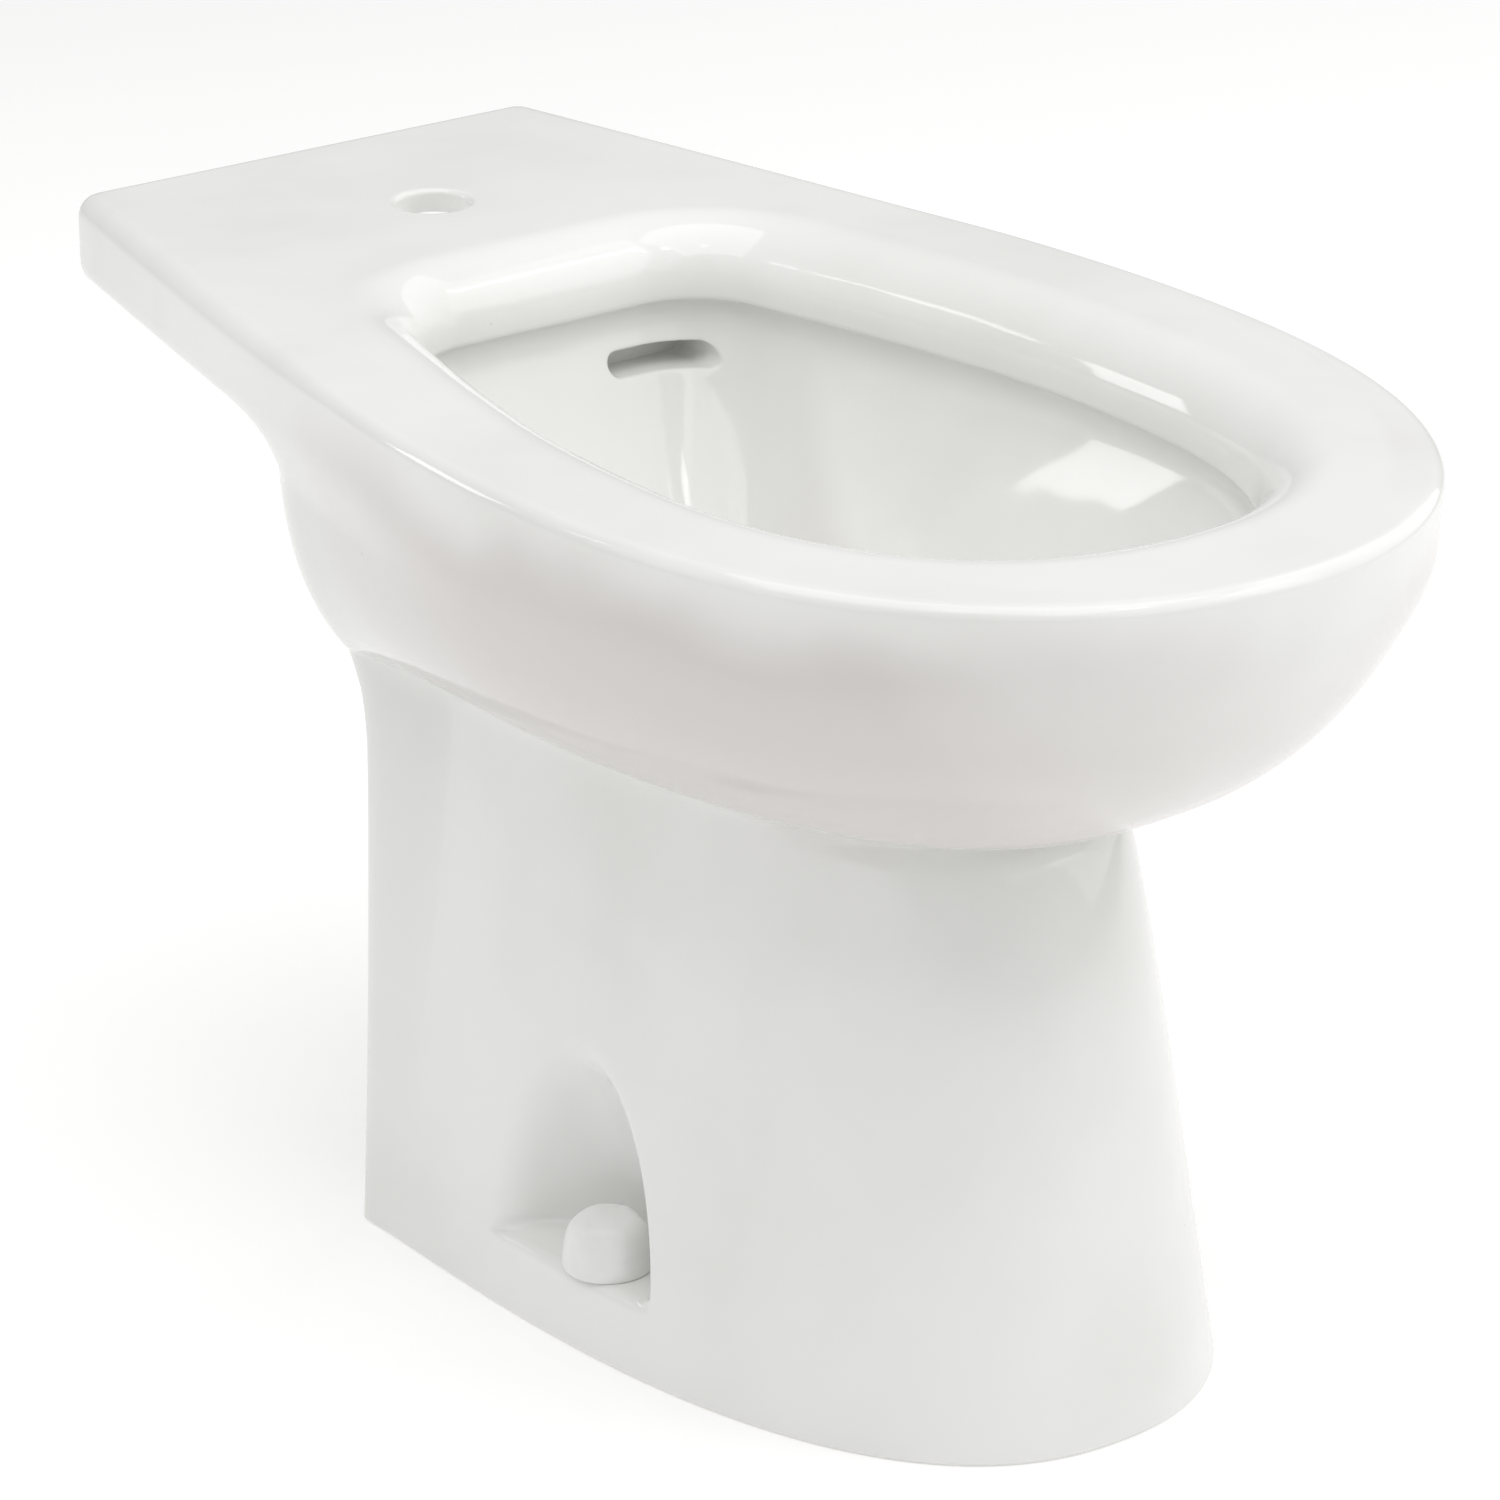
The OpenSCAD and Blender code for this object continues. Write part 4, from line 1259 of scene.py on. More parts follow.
        s = np.linspace(-1, 1, n_arch + 1)
        theta = np.pi / 2 * (1 + np.sign(s) * np.sin(np.abs(s) * np.pi / 2) ** 0.8)
        cos, sin = np.cos(theta), np.sin(theta)

        def arch(rho: Array) -> tuple[Array, Array]:
            """Y and Z on the arch for a share of its size."""
            return y_mid + wide * rho * cos + lean * rho * sin, size.ledge + tall * rho * sin

        rho = solve(lambda m: m * m + ((f.niche_mid - skin_x(*arch(m))[1]) / depth) ** 2 - 1, 0.4, 1.0, n_arch + 1)
        y, z = arch(rho)
        normal = columns(cos / wide, sin / tall)
        normal /= np.linalg.norm(normal, axis=1, keepdims=True)
        rear = smoothstep(0.5 + 0.75 * cos)
        lip_front, lip_top, lip_rear, edge, steps = 2.8, 5.0, 9.0, 4.2, 16
        grow = mix(mix(lip_front, lip_top, smoothstep(sin)), lip_rear, rear)[:, None]
        out_arch = columns(y, z) + normal * grow
        out_arch[[0, -1]] += (0, -3.8)
        y_line = np.linspace(y[-1], y[0], nc + 1)[1:-1]
        aim = np.concatenate([out_arch[-1:], columns(y_line, size.ledge - edge), out_arch[:-1]])
        aim_w = skin_x(*aim.T)[0]
        last = self.patch(ids, ws, columns(aim_w, aim[:, 1]), f.outer, 6, True, flip, side.value)[-1]
        sign = np.array([side.value, 1, 1])

        def hollow(psi: Array) -> Array:
            """Points of the hollow, with the soft turn on to the ledge.

            Args:
                psi: angle of each point from the hollow's pole.

            Returns:
                The points.
            """
            sp, turn = np.sin(psi), 6.0
            p = columns(
                f.niche_mid - depth * np.cos(psi), y_mid + wide * sp * cos + lean * sp * sin,
                size.ledge + tall * sp * sin)
            h = clamp01((turn - (p[:, 2] - size.ledge)) / turn)
            push = turn * (1 - np.sqrt(np.maximum(0, 1 - h * h)))
            n = columns((f.niche_mid - p[:, 0]) / depth**2, (y_mid - p[:, 1]) / wide**2)
            p[:, :2] += n / (np.linalg.norm(n, axis=1, keepdims=True) + 1e-9) * push[:, None]
            return p

        psi_edge = np.arcsin(np.clip(rho, 0, 0.9999)) - mix(0.05, 0.2, rear)
        edge_in = hollow(psi_edge)
        corner_arch = columns(skin_x(y, z)[1], y, z)
        flat_z = np.full(nc - 1, size.ledge)
        corner_line = columns(skin_x(y_line, flat_z)[1], y_line, flat_z)
        line_y = np.linspace(edge_in[-1][1], edge_in[0][1], nc + 1)[1:-1]
        line_in = columns(corner_line[:, 0] - edge, line_y, flat_z)
        corner = np.concatenate([corner_arch[-1:], corner_line, corner_arch[:-1]])
        after = np.concatenate([edge_in[-1:], line_in, edge_in[:-1]])
        arc = arc_path(corner, f.outer(aim_w, aim[:, 1]), after, 6)[1:]
        rings = [last] + [book.add(p * sign) for p in arc]
        book.loft(rings, True, flip)
        last = rings[-1]
        # the arch's part of the last ring, from the rear corner over the top to the front corner
        chain = [np.concatenate([last[nc:], last[:1]])]
        chain += [book.add(hollow(psi_edge * (1 - k / steps) + 1e-4) * sign) for k in range(1, steps + 1)]
        chain.append(book.pole(book.xyz()[chain[-1]].mean(0), n_arch + 1))
        book.loft(chain, False, flip)
        a = turns(32)
        bolt_x, r = size.bolt_gap / 2, size.bolt_hole
        hole = columns(bolt_x + r * np.cos(a), size.bolt_y + r * np.sin(a), size.ledge)
        top_ring, low_ring = book.add(hole * sign), book.add((hole - size.ledge * UP) * sign)
        book.loft([top_ring, low_ring], True, not flip)
        self.bolt_holes.append(low_ring)
        outline = list(last[1:nc]) + [row[0] for row in chain] + [row[-1] for row in chain[-2::-1]]
        book.level(outline, size.ledge)
        book.planar([outline, top_ring], True)

    def slot(self) -> None:
        """The overflow slot in the bowl's rear wall."""
        f, g, size, book = self.form, self.grid, self.size, self.book
        c0, c1 = (g.column(place) for place in self.SLOT_SPAN)
        r0 = self.at["bowl_first"]
        r1 = g.nearest(self.SLOT_LOW, r0, self.at["bowl_last"])
        nc, nr = c1 - c0, r1 - r0
        half, deep_y, lip, lip_deep = (size.slot_w - size.slot_h) / 2, 148.0, 1.3, 1.7

        def stadium(grow: float) -> Array:
            """Place and height in the bowl round the slot, from the top right, over the left, to the right.

            Args:
                grow: how much larger the loop is than the slot.

            Returns:
                The places and heights.
            """
            r, q, k = size.slot_h / 2 + grow, np.pi / 4, 5

            def arc(first: float, last: float, n: int, x: float) -> Array:
                """Part of an end."""
                a = np.linspace(first, last, n)
                return columns(x + r * np.cos(a), r * np.sin(a))

            flat = columns(np.linspace(half, -half, nc + 3 - 2 * k), r)[1:-1]
            top = np.concatenate([arc(q, 2 * q, k, half), flat, arc(2 * q, 3 * q, k, -half)])
            down, up = arc(3 * q, 5 * q, nr + 1, -half), arc(-q, q, nr + 1, half)
            curve = np.concatenate([top, down[1:], (top[::-1] * np.array([1, -1]))[1:], up[1:-1]])
            x, z = (curve + np.array([size.slot_x, size.height - size.slot_drop])).T
            return columns(solve(lambda m: x - f.bowl(m, z)[:, 0], 0.55, 1.0, len(x)), z)

        aim, corner = stadium(lip), f.bowl(*stadium(0.0).T)
        last = self.patch(*g.trace(g.cut(r0, r1, c0, c1)), aim, f.bowl, 6, True)[-1]
        deep = corner.copy()
        deep[:, 1] = deep_y
        arc = arc_path(corner, f.bowl(*aim.T), corner + np.array([0, lip_deep, 0]), 5)[1:]
        rings = [last] + [book.add(p) for p in arc + [mix(corner, deep, 0.6), deep]]
        book.loft(rings + [book.pole(deep.mean(0), len(last))])

    def deck_faces(self) -> None:
        """The deck with its tap hole, and its underside with its hollow."""
        f, g, size, book = self.form, self.grid, self.size, self.book
        a, r, e, deck = turns(96), size.tap / 2, size.tap_edge, size.deck
        shape = [(r + e + 1.2, 0.0), (r + e, 0.0)]
        shape += [(r + e - e * math.sin(t), -e * (1 - math.cos(t))) for t in np.radians([20, 40, 60, 78, 90])]
        shape += [(r, -deck + 1.0), (r + 0.3, -deck + 0.3), (r + 1.0, -deck)]
        tap_y = size.length / 2 - size.tap_back
        rings = [book.add(columns(q * np.cos(a), tap_y + q * np.sin(a), size.height + z)) for q, z in shape]
        book.loft(rings)
        book.planar([g.rows[self.at["deck_in"]], g.rows[self.at["roll_out"]], rings[0]], True)
        shelf, under, roof = self.at["shelf"], f.skirt_z, size.height - deck
        free_gap, front, cut, blunt, soft = 34, 198.0, 18, 5.4, 5.0
        wide = np.nonzero(self.gap > free_gap)[0]
        c0, c1 = int(wide.min()), int(wide.max())
        g.gaps.append((shelf, shelf + 1, c0, c1))
        low, high = g.rows[shelf], g.rows[shelf + 1]
        outline = list(high[c0:c1 + 1]) + list(low[c0:c1 + 1][::-1])
        book.level(outline, under)
        v = f.inset(f.deck, size.wall)
        rear = float(v[3])
        x0, x1, x2 = (float(f.side_x(v, y)) for y in (front, rear - cut, rear))
        right = np.array([(x0, front), (x1, rear - cut), (x2 - blunt, rear - blunt), (x2 - cut, rear)])
        corners = np.concatenate([right, right[::-1] * np.array([-1, 1])])

        def hollow(shrink: float, z: float) -> Array:
            """Loop of the hollow, rounded at its corners.

            Args:
                shrink: how far it draws in.
                z: height in millimetres.

            Returns:
                The points.
            """
            c = mix(corners, corners.mean(0), shrink / 80)
            before, after = (towards(c, np.roll(c, k, axis=0), soft) for k in (1, -1))
            return columns(*np.stack(arc_path(c, before, after, 4), axis=1).reshape(-1, 2).T, z)

        levels = (
            (-2.5, under), (-1.0, under + 0.6), (0, under + 2.2), (0.3, roof - 3.5), (1.2, roof - 1.0), (3.5, roof))
        loops = [book.add(hollow(*level)) for level in levels]
        book.loft(loops, True, True)
        book.planar([outline, loops[0]], False)
        book.planar([loops[-1], rings[-1]], False)

    def foot_face(self) -> None:
        """The underside of the foot, with its bolt holes."""
        outer, inner = (self.grid.rows[k][self.foot_columns] for k in (0, self.at["last"]))
        right, left = self.foot_ends
        loop = list(outer) + right + list(inner[::-1]) + left[::-1]
        self.book.level(loop, 0.0)
        self.book.planar([loop] + self.bolt_holes, False)


# ---------------------------------------------------------------- turned and bent pieces
def rounded(profile: Sequence[Corner], steps: int) -> list[Axis]:
    """Rounds the corners of an open profile.

    Args:
        profile: radius, height and corner radius of each corner.
        steps: stretches in each rounded corner.

    Returns:
        Radius and height of the profile's points.
    """
    out: list[Axis] = []
    points = [np.array([p[:2]], float) for p in profile]
    for k, (r, z, fillet) in enumerate(profile):
        if fillet <= 0 or k in (0, len(profile) - 1):
            out.append((r, z))
            continue
        here, before, after = points[k], points[k - 1], points[k + 1]
        reach = min(fillet, 0.48 * min(np.linalg.norm(before - here), np.linalg.norm(after - here)))
        arc = arc_path(here, towards(here, before, reach), towards(here, after, reach), steps)
        out += [(float(q[0, 0]), float(q[0, 1])) for q in arc]
    return out


def ring_profile(
    inner: float, outer: float, low: float, high: float, inner_turn: float = 0.4, outer_turn: float = 0.5,
    top_turn: float | None = None,
) -> list[Corner]:
    """Profile of a flat ring, from the middle of its bore.

    Args:
        inner: radius of its bore.
        outer: radius of its outside.
        low: height of its lower face.
        high: height of its upper face.
        inner_turn: radius of its edges at the bore.
        outer_turn: radius of its outer edges.
        top_turn: radius of its upper outer edge, if another.

    Returns:
        Its corners.
    """
    top_turn = outer_turn if top_turn is None else top_turn
    middle = (inner, (low + high) / 2, 0)
    return [middle, (inner, low, inner_turn), (outer, low, outer_turn), (outer, high, top_turn),
            (inner, high, inner_turn), middle]


def turned(book: MeshBook, profile: Sequence[Corner], centre: Axis, segments: int, steps: int, closed: bool) -> None:
    """Adds a turned form.

    Args:
        book: mesh that it goes to.
        profile: radius, height and corner radius of its corners, anticlockwise in the right half plane.
        centre: X and Y of the axis.
        segments: columns round the axis.
        steps: stretches in each rounded corner.
        closed: whether the last corner is the first one again.
    """
    a, rows = turns(segments), []
    for r, z in rounded(profile, steps)[:-1 if closed else None]:
        if r < 1e-6:
            rows.append(book.pole((*centre, z), segments))
        else:
            rows.append(book.add(columns(centre[0] + r * np.cos(a), centre[1] + r * np.sin(a), z)))
    book.loft(rows + rows[:1] if closed else rows)


def hex_nut(book: MeshBook, centre: Axis, z: float, height: float, across: float, hole: float, turn: float) -> None:
    """Adds a hexagon nut with its cone chamfers.

    Args:
        book: mesh that it goes to.
        centre: X and Y of its axis.
        z: height of its lower face.
        height: its height.
        across: width across its flats.
        hole: radius of its hole.
        turn: how far it is turned, in degrees.
    """
    corner, sixth = across * 0.012, math.pi / 6
    reach = (across / 2 - corner) / math.cos(sixth)
    flat = []
    for k in range(6):
        m = math.radians(60 * k + turn)
        a = np.linspace(m - sixth, m + sixth, 4)
        flat.append(columns(reach * math.cos(m) + corner * np.cos(a), reach * math.sin(m) + corner * np.sin(a)))
    flat = np.concatenate(flat)
    dense = []
    for p, q in zip(flat, np.roll(flat, -1, axis=0)):
        n = 10 if np.linalg.norm(q - p) > across * 0.2 else 1
        dense += [mix(p, q, k / n) for k in range(n)]
    ring = np.array(dense)
    far = np.linalg.norm(ring, axis=1)
    way = ring / far[:, None]
    chamfer = across / math.sqrt(3) * 0.93
    drop = np.maximum(0, far - chamfer) * 0.6
    lead, near = hole * 0.12, np.minimum(far, chamfer)

    def row(radius: Array, level: Array) -> Array:
        """Row of points at radii and levels."""
        return book.add(columns(centre[0] + way[:, 0] * radius, centre[1] + way[:, 1] * radius, z + level))

    rows = [
        row(hole, lead), row(hole + lead, 0.0), row(near * 0.97, 0.0), row(near, 0.02), row(far, drop + 0.15),
        row(far, height - drop - 0.15), row(near, height - 0.02), row(near * 0.97, height), row(hole + lead, height),
        row(hole, height - lead)]
    book.loft(rows + rows[:1])


class Tree:
    """Geometry Nodes tree that adds a form to a piece, with named inputs."""

    def __init__(self, name: str, inputs: dict[str, str]) -> None:
        """Makes the tree's sockets.

        Args:
            name: name of the tree.
            inputs: socket type of each input of its own.
        """
        self.tree = bpy.data.node_groups.new(name, "GeometryNodeTree")
        face = self.tree.interface
        face.new_socket("Geometry", in_out="OUTPUT", socket_type="NodeSocketGeometry")
        shared = {"Base": "Float", "Axis X": "Float", "Axis Y": "Float", "Finish": "Material"}
        for key, kind in {"Geometry": "Geometry", **inputs, **shared}.items():
            face.new_socket(key, in_out="INPUT", socket_type=f"NodeSocket{kind}")
        self.given = self.tree.nodes.new("NodeGroupInput").outputs

    def node(self, kind: str, inputs: dict, **settings: str) -> bpy.types.bpy_prop_collection:
        """Adds a node and returns its outputs.

        Args:
            kind: node type name.
            inputs: values or sockets by socket name or number.
            settings: properties that are set first.

        Returns:
            The outputs.
        """
        made = self.tree.nodes.new(kind)
        for key, value in settings.items():
            setattr(made, key, value)
        for key, value in inputs.items():
            if isinstance(value, bpy.types.NodeSocket):
                self.tree.links.new(value, made.inputs[key])
            else:
                made.inputs[key].default_value = value
        return made.outputs

    def circle(self, points: object, radius: object) -> bpy.types.NodeSocket:
        """Adds a circle curve and returns its socket."""
        inputs = {"Resolution": points, "Radius": radius}
        return self.node("GeometryNodeCurvePrimitiveCircle", inputs, mode="RADIUS")["Curve"]

    def end(self, form: bpy.types.NodeSocket) -> None:
        """Moves the form to its place, joins it to the piece and finishes both.

        Args:
            form: socket of the form.
        """
        given = self.given
        place = self.node("ShaderNodeCombineXYZ", {0: given["Axis X"], 1: given["Axis Y"], 2: given["Base"]})
        moved = self.node("GeometryNodeTransform", {"Geometry": form, "Translation": place[0]})
        joined = self.node("GeometryNodeJoinGeometry", {"Geometry": moved["Geometry"]})
        self.tree.links.new(given["Geometry"], joined["Geometry"].node.inputs["Geometry"])
        real = self.node("GeometryNodeRealizeInstances", {"Geometry": joined["Geometry"]})
        paint = self.node("GeometryNodeSetMaterial", {"Geometry": real["Geometry"], "Material": given["Finish"]})
        self.node("NodeGroupOutput", {"Geometry": paint["Geometry"]})

    def run(self, piece: bpy.types.Object, centre: Axis, base: float, values: dict) -> None:
        """Runs the tree on a piece and keeps the result as plain mesh.

        Args:
            piece: the piece.
            centre: X and Y of the axis in millimetres.
            base: height of the form in millimetres.
            values: value of each input of the tree's own.
        """
        values = {
            **values, "Base": base * MM, "Axis X": centre[0] * MM, "Axis Y": centre[1] * MM,
            "Finish": piece.data.materials[0]}
        modifier = piece.modifiers.new("build", "NODES")
        modifier.node_group = self.tree
        for item in self.tree.interface.items_tree:
            if item.item_type == "SOCKET" and item.in_out == "INPUT" and item.name in values:
                modifier[item.identifier] = values[item.name]
        bake(piece, modifier)
        smooth(piece.data)


class Coil(Tree):
    """Winds a thread ridge round a core."""

    def __init__(self) -> None:
        """Builds the tree."""
        super().__init__("thread_ridge", dict.fromkeys(("Radius", "Height", "Turns", "Ridge"), "Float"))
        given = self.given
        spiral = self.node("GeometryNodeCurveSpiral", {
            "Resolution": 40, "Rotations": given["Turns"], "Start Radius": given["Radius"],
            "End Radius": given["Radius"], "Height": given["Height"]})
        sweep = self.node("GeometryNodeCurveToMesh", {
            "Curve": spiral["Curve"], "Profile Curve": self.circle(4, given["Ridge"]), "Fill Caps": True})
        self.end(sweep["Mesh"])

    def wind(
        self, piece: bpy.types.Object, centre: Axis, radius: float, base: float, height: float, pitch: float
    ) -> None:
        """Winds the ridge on a piece.

        Args:
            piece: the core.
            centre: X and Y of the axis in millimetres.
            radius: radius of the ridge's middle.
            base: height at which it starts.
            height: how far it climbs.
            pitch: climb in each turn.
        """
        self.run(piece, centre, base, {
            "Radius": radius * MM, "Height": height * MM, "Turns": height / pitch, "Ridge": pitch * 0.32 * MM})


class Lugs(Tree):
    """Sets grip lugs round a ring."""

    def __init__(self) -> None:
        """Builds the tree."""
        super().__init__("grip_lugs", {"Radius": "Float", "Lug Width": "Float", "Lug Height": "Float", "Count": "Int"})
        given = self.given
        ring = self.circle(given["Count"], given["Radius"])
        spots = self.node("GeometryNodeCurveToPoints", {"Curve": ring}, mode="EVALUATED")
        lug = self.node("GeometryNodeMeshCylinder", {
            "Vertices": 20, "Radius": given["Lug Width"], "Depth": given["Lug Height"]})
        placed = self.node("GeometryNodeInstanceOnPoints", {"Points": spots["Points"], "Instance": lug["Mesh"]})
        self.end(placed["Instances"])


@dataclass(frozen=True)
class Workshop:
    """Finishes and trees that the fittings share."""

    finishes: dict[str, bpy.types.Material]
    coil: Coil
    lugs: Lugs

    def make(self, book: MeshBook, name: str, finish: str, sharp: float = 38.0) -> bpy.types.Object:
        """Makes a piece in one of the finishes.

        Args:
            book: its mesh.
            name: its name.
            finish: name of its finish.
            sharp: angle from which an edge shades sharp, in degrees.

        Returns:
            The object.
        """
        return book.make(name, self.finishes[finish], sharp)

    def lathe(
        self, name: str, finish: str, node: str, profile: Sequence[Corner], centre: Axis, body: str = "base",
        closed: bool = True, segments: int = 128, steps: int = 5, sharp: float = 38.0,
    ) -> None:
        """Makes and binds one turned piece.

        Args:
            name: name of the piece.
            finish: name of its finish.
            node: node that it stands for.
            profile: radius, height and corner radius of each corner.
            centre: X and Y of its axis.
            body: body that it rides on.
            closed: whether the last corner is the first one again.
            segments: columns round the axis.
            steps: stretches in each rounded corner.
            sharp: angle from which an edge shades sharp, in degrees.
        """
        book = MeshBook()
        turned(book, profile, centre, segments, steps, closed)
        dress(self.make(book, name, finish, sharp), body, finish, node)


def dress(piece: bpy.types.Object, body: str, slot: str, *nodes: str) -> None:
    """Binds a piece to its body and hides the nodes that it stands for.

    Args:
        piece: the piece.
        body: body that it rides on.
        slot: not used.
        nodes: nodes that it stands for.
    """
    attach(piece, body)
    if nodes:
        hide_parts(*nodes)
    log.info("%s: %d faces", piece.name, len(piece.data.polygons))


@dataclass(frozen=True)
class Fixings:
    """Floor bolt, nut, washer, cap ring and cap on one side."""

    side: Side
    centre: Axis
    ledge: float
    shop: Workshop
    cap_tall: float = 22.0
    cap_radius: float = 18.5
    cap_turn: float = 12.0
    cap_blunt: float = 0.955
    clip_radius: float = 15.3
    clip_tall: float = 8.9
    clip_wall: float = 1.8
    clip_floor: float = 2.4
    bore: float = 4.4
    washer_radius: float = 12.3
    washer_thick: float = 1.6
    nut_tall: float = 6.4
    nut_across: float = 13.0
    nut_hole: float = 3.72
    stud_radius: float = 4.0
    thread_radius: float = 3.4
    thread_low: float = 26.3
    stud_top: float = 43.9
    pitch: float = 1.25
    # share of the height, share of the radius, how strongly the flats show
    cap_rows: tuple[Corner, ...] = (
        (0, 0.97, 0.1), (0.008, 0.985, 0.1), (0.03, 1, 0.12), (0.2, 0.99, 0.25), (0.4, 0.957, 0.45), (0.56, 0.918, 0.6),
        (0.66, 0.885, 0.65), (0.74, 0.85, 0.65), (0.8, 0.81, 0.62), (0.86, 0.755, 0.58), (0.91, 0.69, 0.5),
        (0.95, 0.61, 0.42), (0.975, 0.53, 0.34), (0.99, 0.45, 0.26), (0.998, 0.36, 0.18), (1, 0.27, 0.1))
    # height over the cap's foot and radius of its inside
    cap_hollow: tuple[Axis, ...] = (
        (19.4, 7.2), (19.2, 7.9), (17.0, 9.6), (12.5, 13.0), (9.5, 15.4), (9.0, 15.65), (0, 15.65))

    @property
    def name(self) -> str:
        """Name of the side, as the nodes have it."""
        return self.side.name.lower()

    def build(self) -> None:
        """Builds the five pieces."""
        name, shop, bore, low = self.name, self.shop, self.bore, self.ledge
        floor, top, outer = low + self.clip_floor, low + self.clip_tall, self.clip_radius
        inner, nut_low = outer - self.clip_wall, floor + self.washer_thick
        self.cap()
        shop.lathe(f"cap_ring_{name}", "nylon", f"cap_base_{name}", [
            (bore, low, 0), (outer, low, 0.5), (outer, top, 0.7), (inner, top, 0.5), (inner, floor, 0.6),
            (bore, floor, 0.3), (bore, low, 0)], self.centre, segments=96, steps=4)
        shop.lathe(f"washer_{name}", "steel", f"floor_washer_{name}", ring_profile(
            bore, self.washer_radius, floor, nut_low, 0.3, 0.5, 0.3), self.centre, segments=64, steps=3)
        book = MeshBook()
        hex_nut(book, self.centre, nut_low, self.nut_tall, self.nut_across, self.nut_hole, 0.0)
        dress(shop.make(book, f"nut_{name}", "steel", 30.0), "base", "steel", f"floor_nut_{name}")
        self.stud()
        log.info("fixings %s: cap, ring, washer, nut and stud", name)

    def cap(self) -> None:
        """Cap: round below, a soft hexagon above, with a rounded crown and a hollow inside."""
        book, n, soft, blunt = MeshBook(), 96, 60, self.cap_blunt
        (x, y), foot = self.centre, self.ledge
        marks = np.concatenate([
            [0, 0.008, 0.02, 0.03], np.linspace(0.06, 0.6, 12), np.linspace(0.63, 0.97, 14), [0.985, 0.995, 1]])
        angle = turns(n)
        turn = np.radians(self.cap_turn) * self.side.value - np.pi / 2
        flat = math.cos(math.pi / 6) / np.cos(np.mod(angle, np.pi / 3) - np.pi / 6)
        flat = -np.log(np.exp(-soft * flat) + np.exp(-soft * blunt)) / soft / blunt

        def ring(radius: Array, z: float) -> Array:
            """Ring of the cap at a height over its foot."""
            return book.add(columns(x + radius * np.cos(angle + turn), y + radius * np.sin(angle + turn), foot + z))

        rows = [book.pole((x, y, foot + self.cap_hollow[0][0]), n)] + [ring(r, z) for z, r in self.cap_hollow]
        place, share, strength = np.array(self.cap_rows).T
        for mark in marks:
            radius = self.cap_radius * np.interp(mark, place, share)
            rows.append(ring(radius * mix(1.0, flat, np.interp(mark, place, strength)), self.cap_tall * mark))
        book.loft(rows + [book.pole((x, y, foot + self.cap_tall), n)])
        piece = self.shop.make(book, f"cap_{self.name}_moulding", "cap_plastic", 60.0)
        dress(piece, f"cap_{self.name}", "cap_plastic", f"bolt_cap_{self.name}")

    def stud(self) -> None:
        """Stud with its wound thread."""
        r, root, low, top, book = self.stud_radius, self.thread_radius, self.thread_low, self.stud_top, MeshBook()
        corners = [
            (0, 0), (r - 0.5, 0), (r, 0.5), (r, low - 0.3), (root, low), (root, top - 0.7), (root - 0.6, top), (0, top)]
        turned(book, [(r, z, 0) for r, z in corners], self.centre, 48, 1, False)
        piece = self.shop.make(book, f"stud_{self.name}", "steel")
        self.shop.coil.wind(piece, self.centre, root, low + 0.7, 15.6, self.pitch)
        dress(piece, "base", "steel", f"floor_stud_{self.name}")


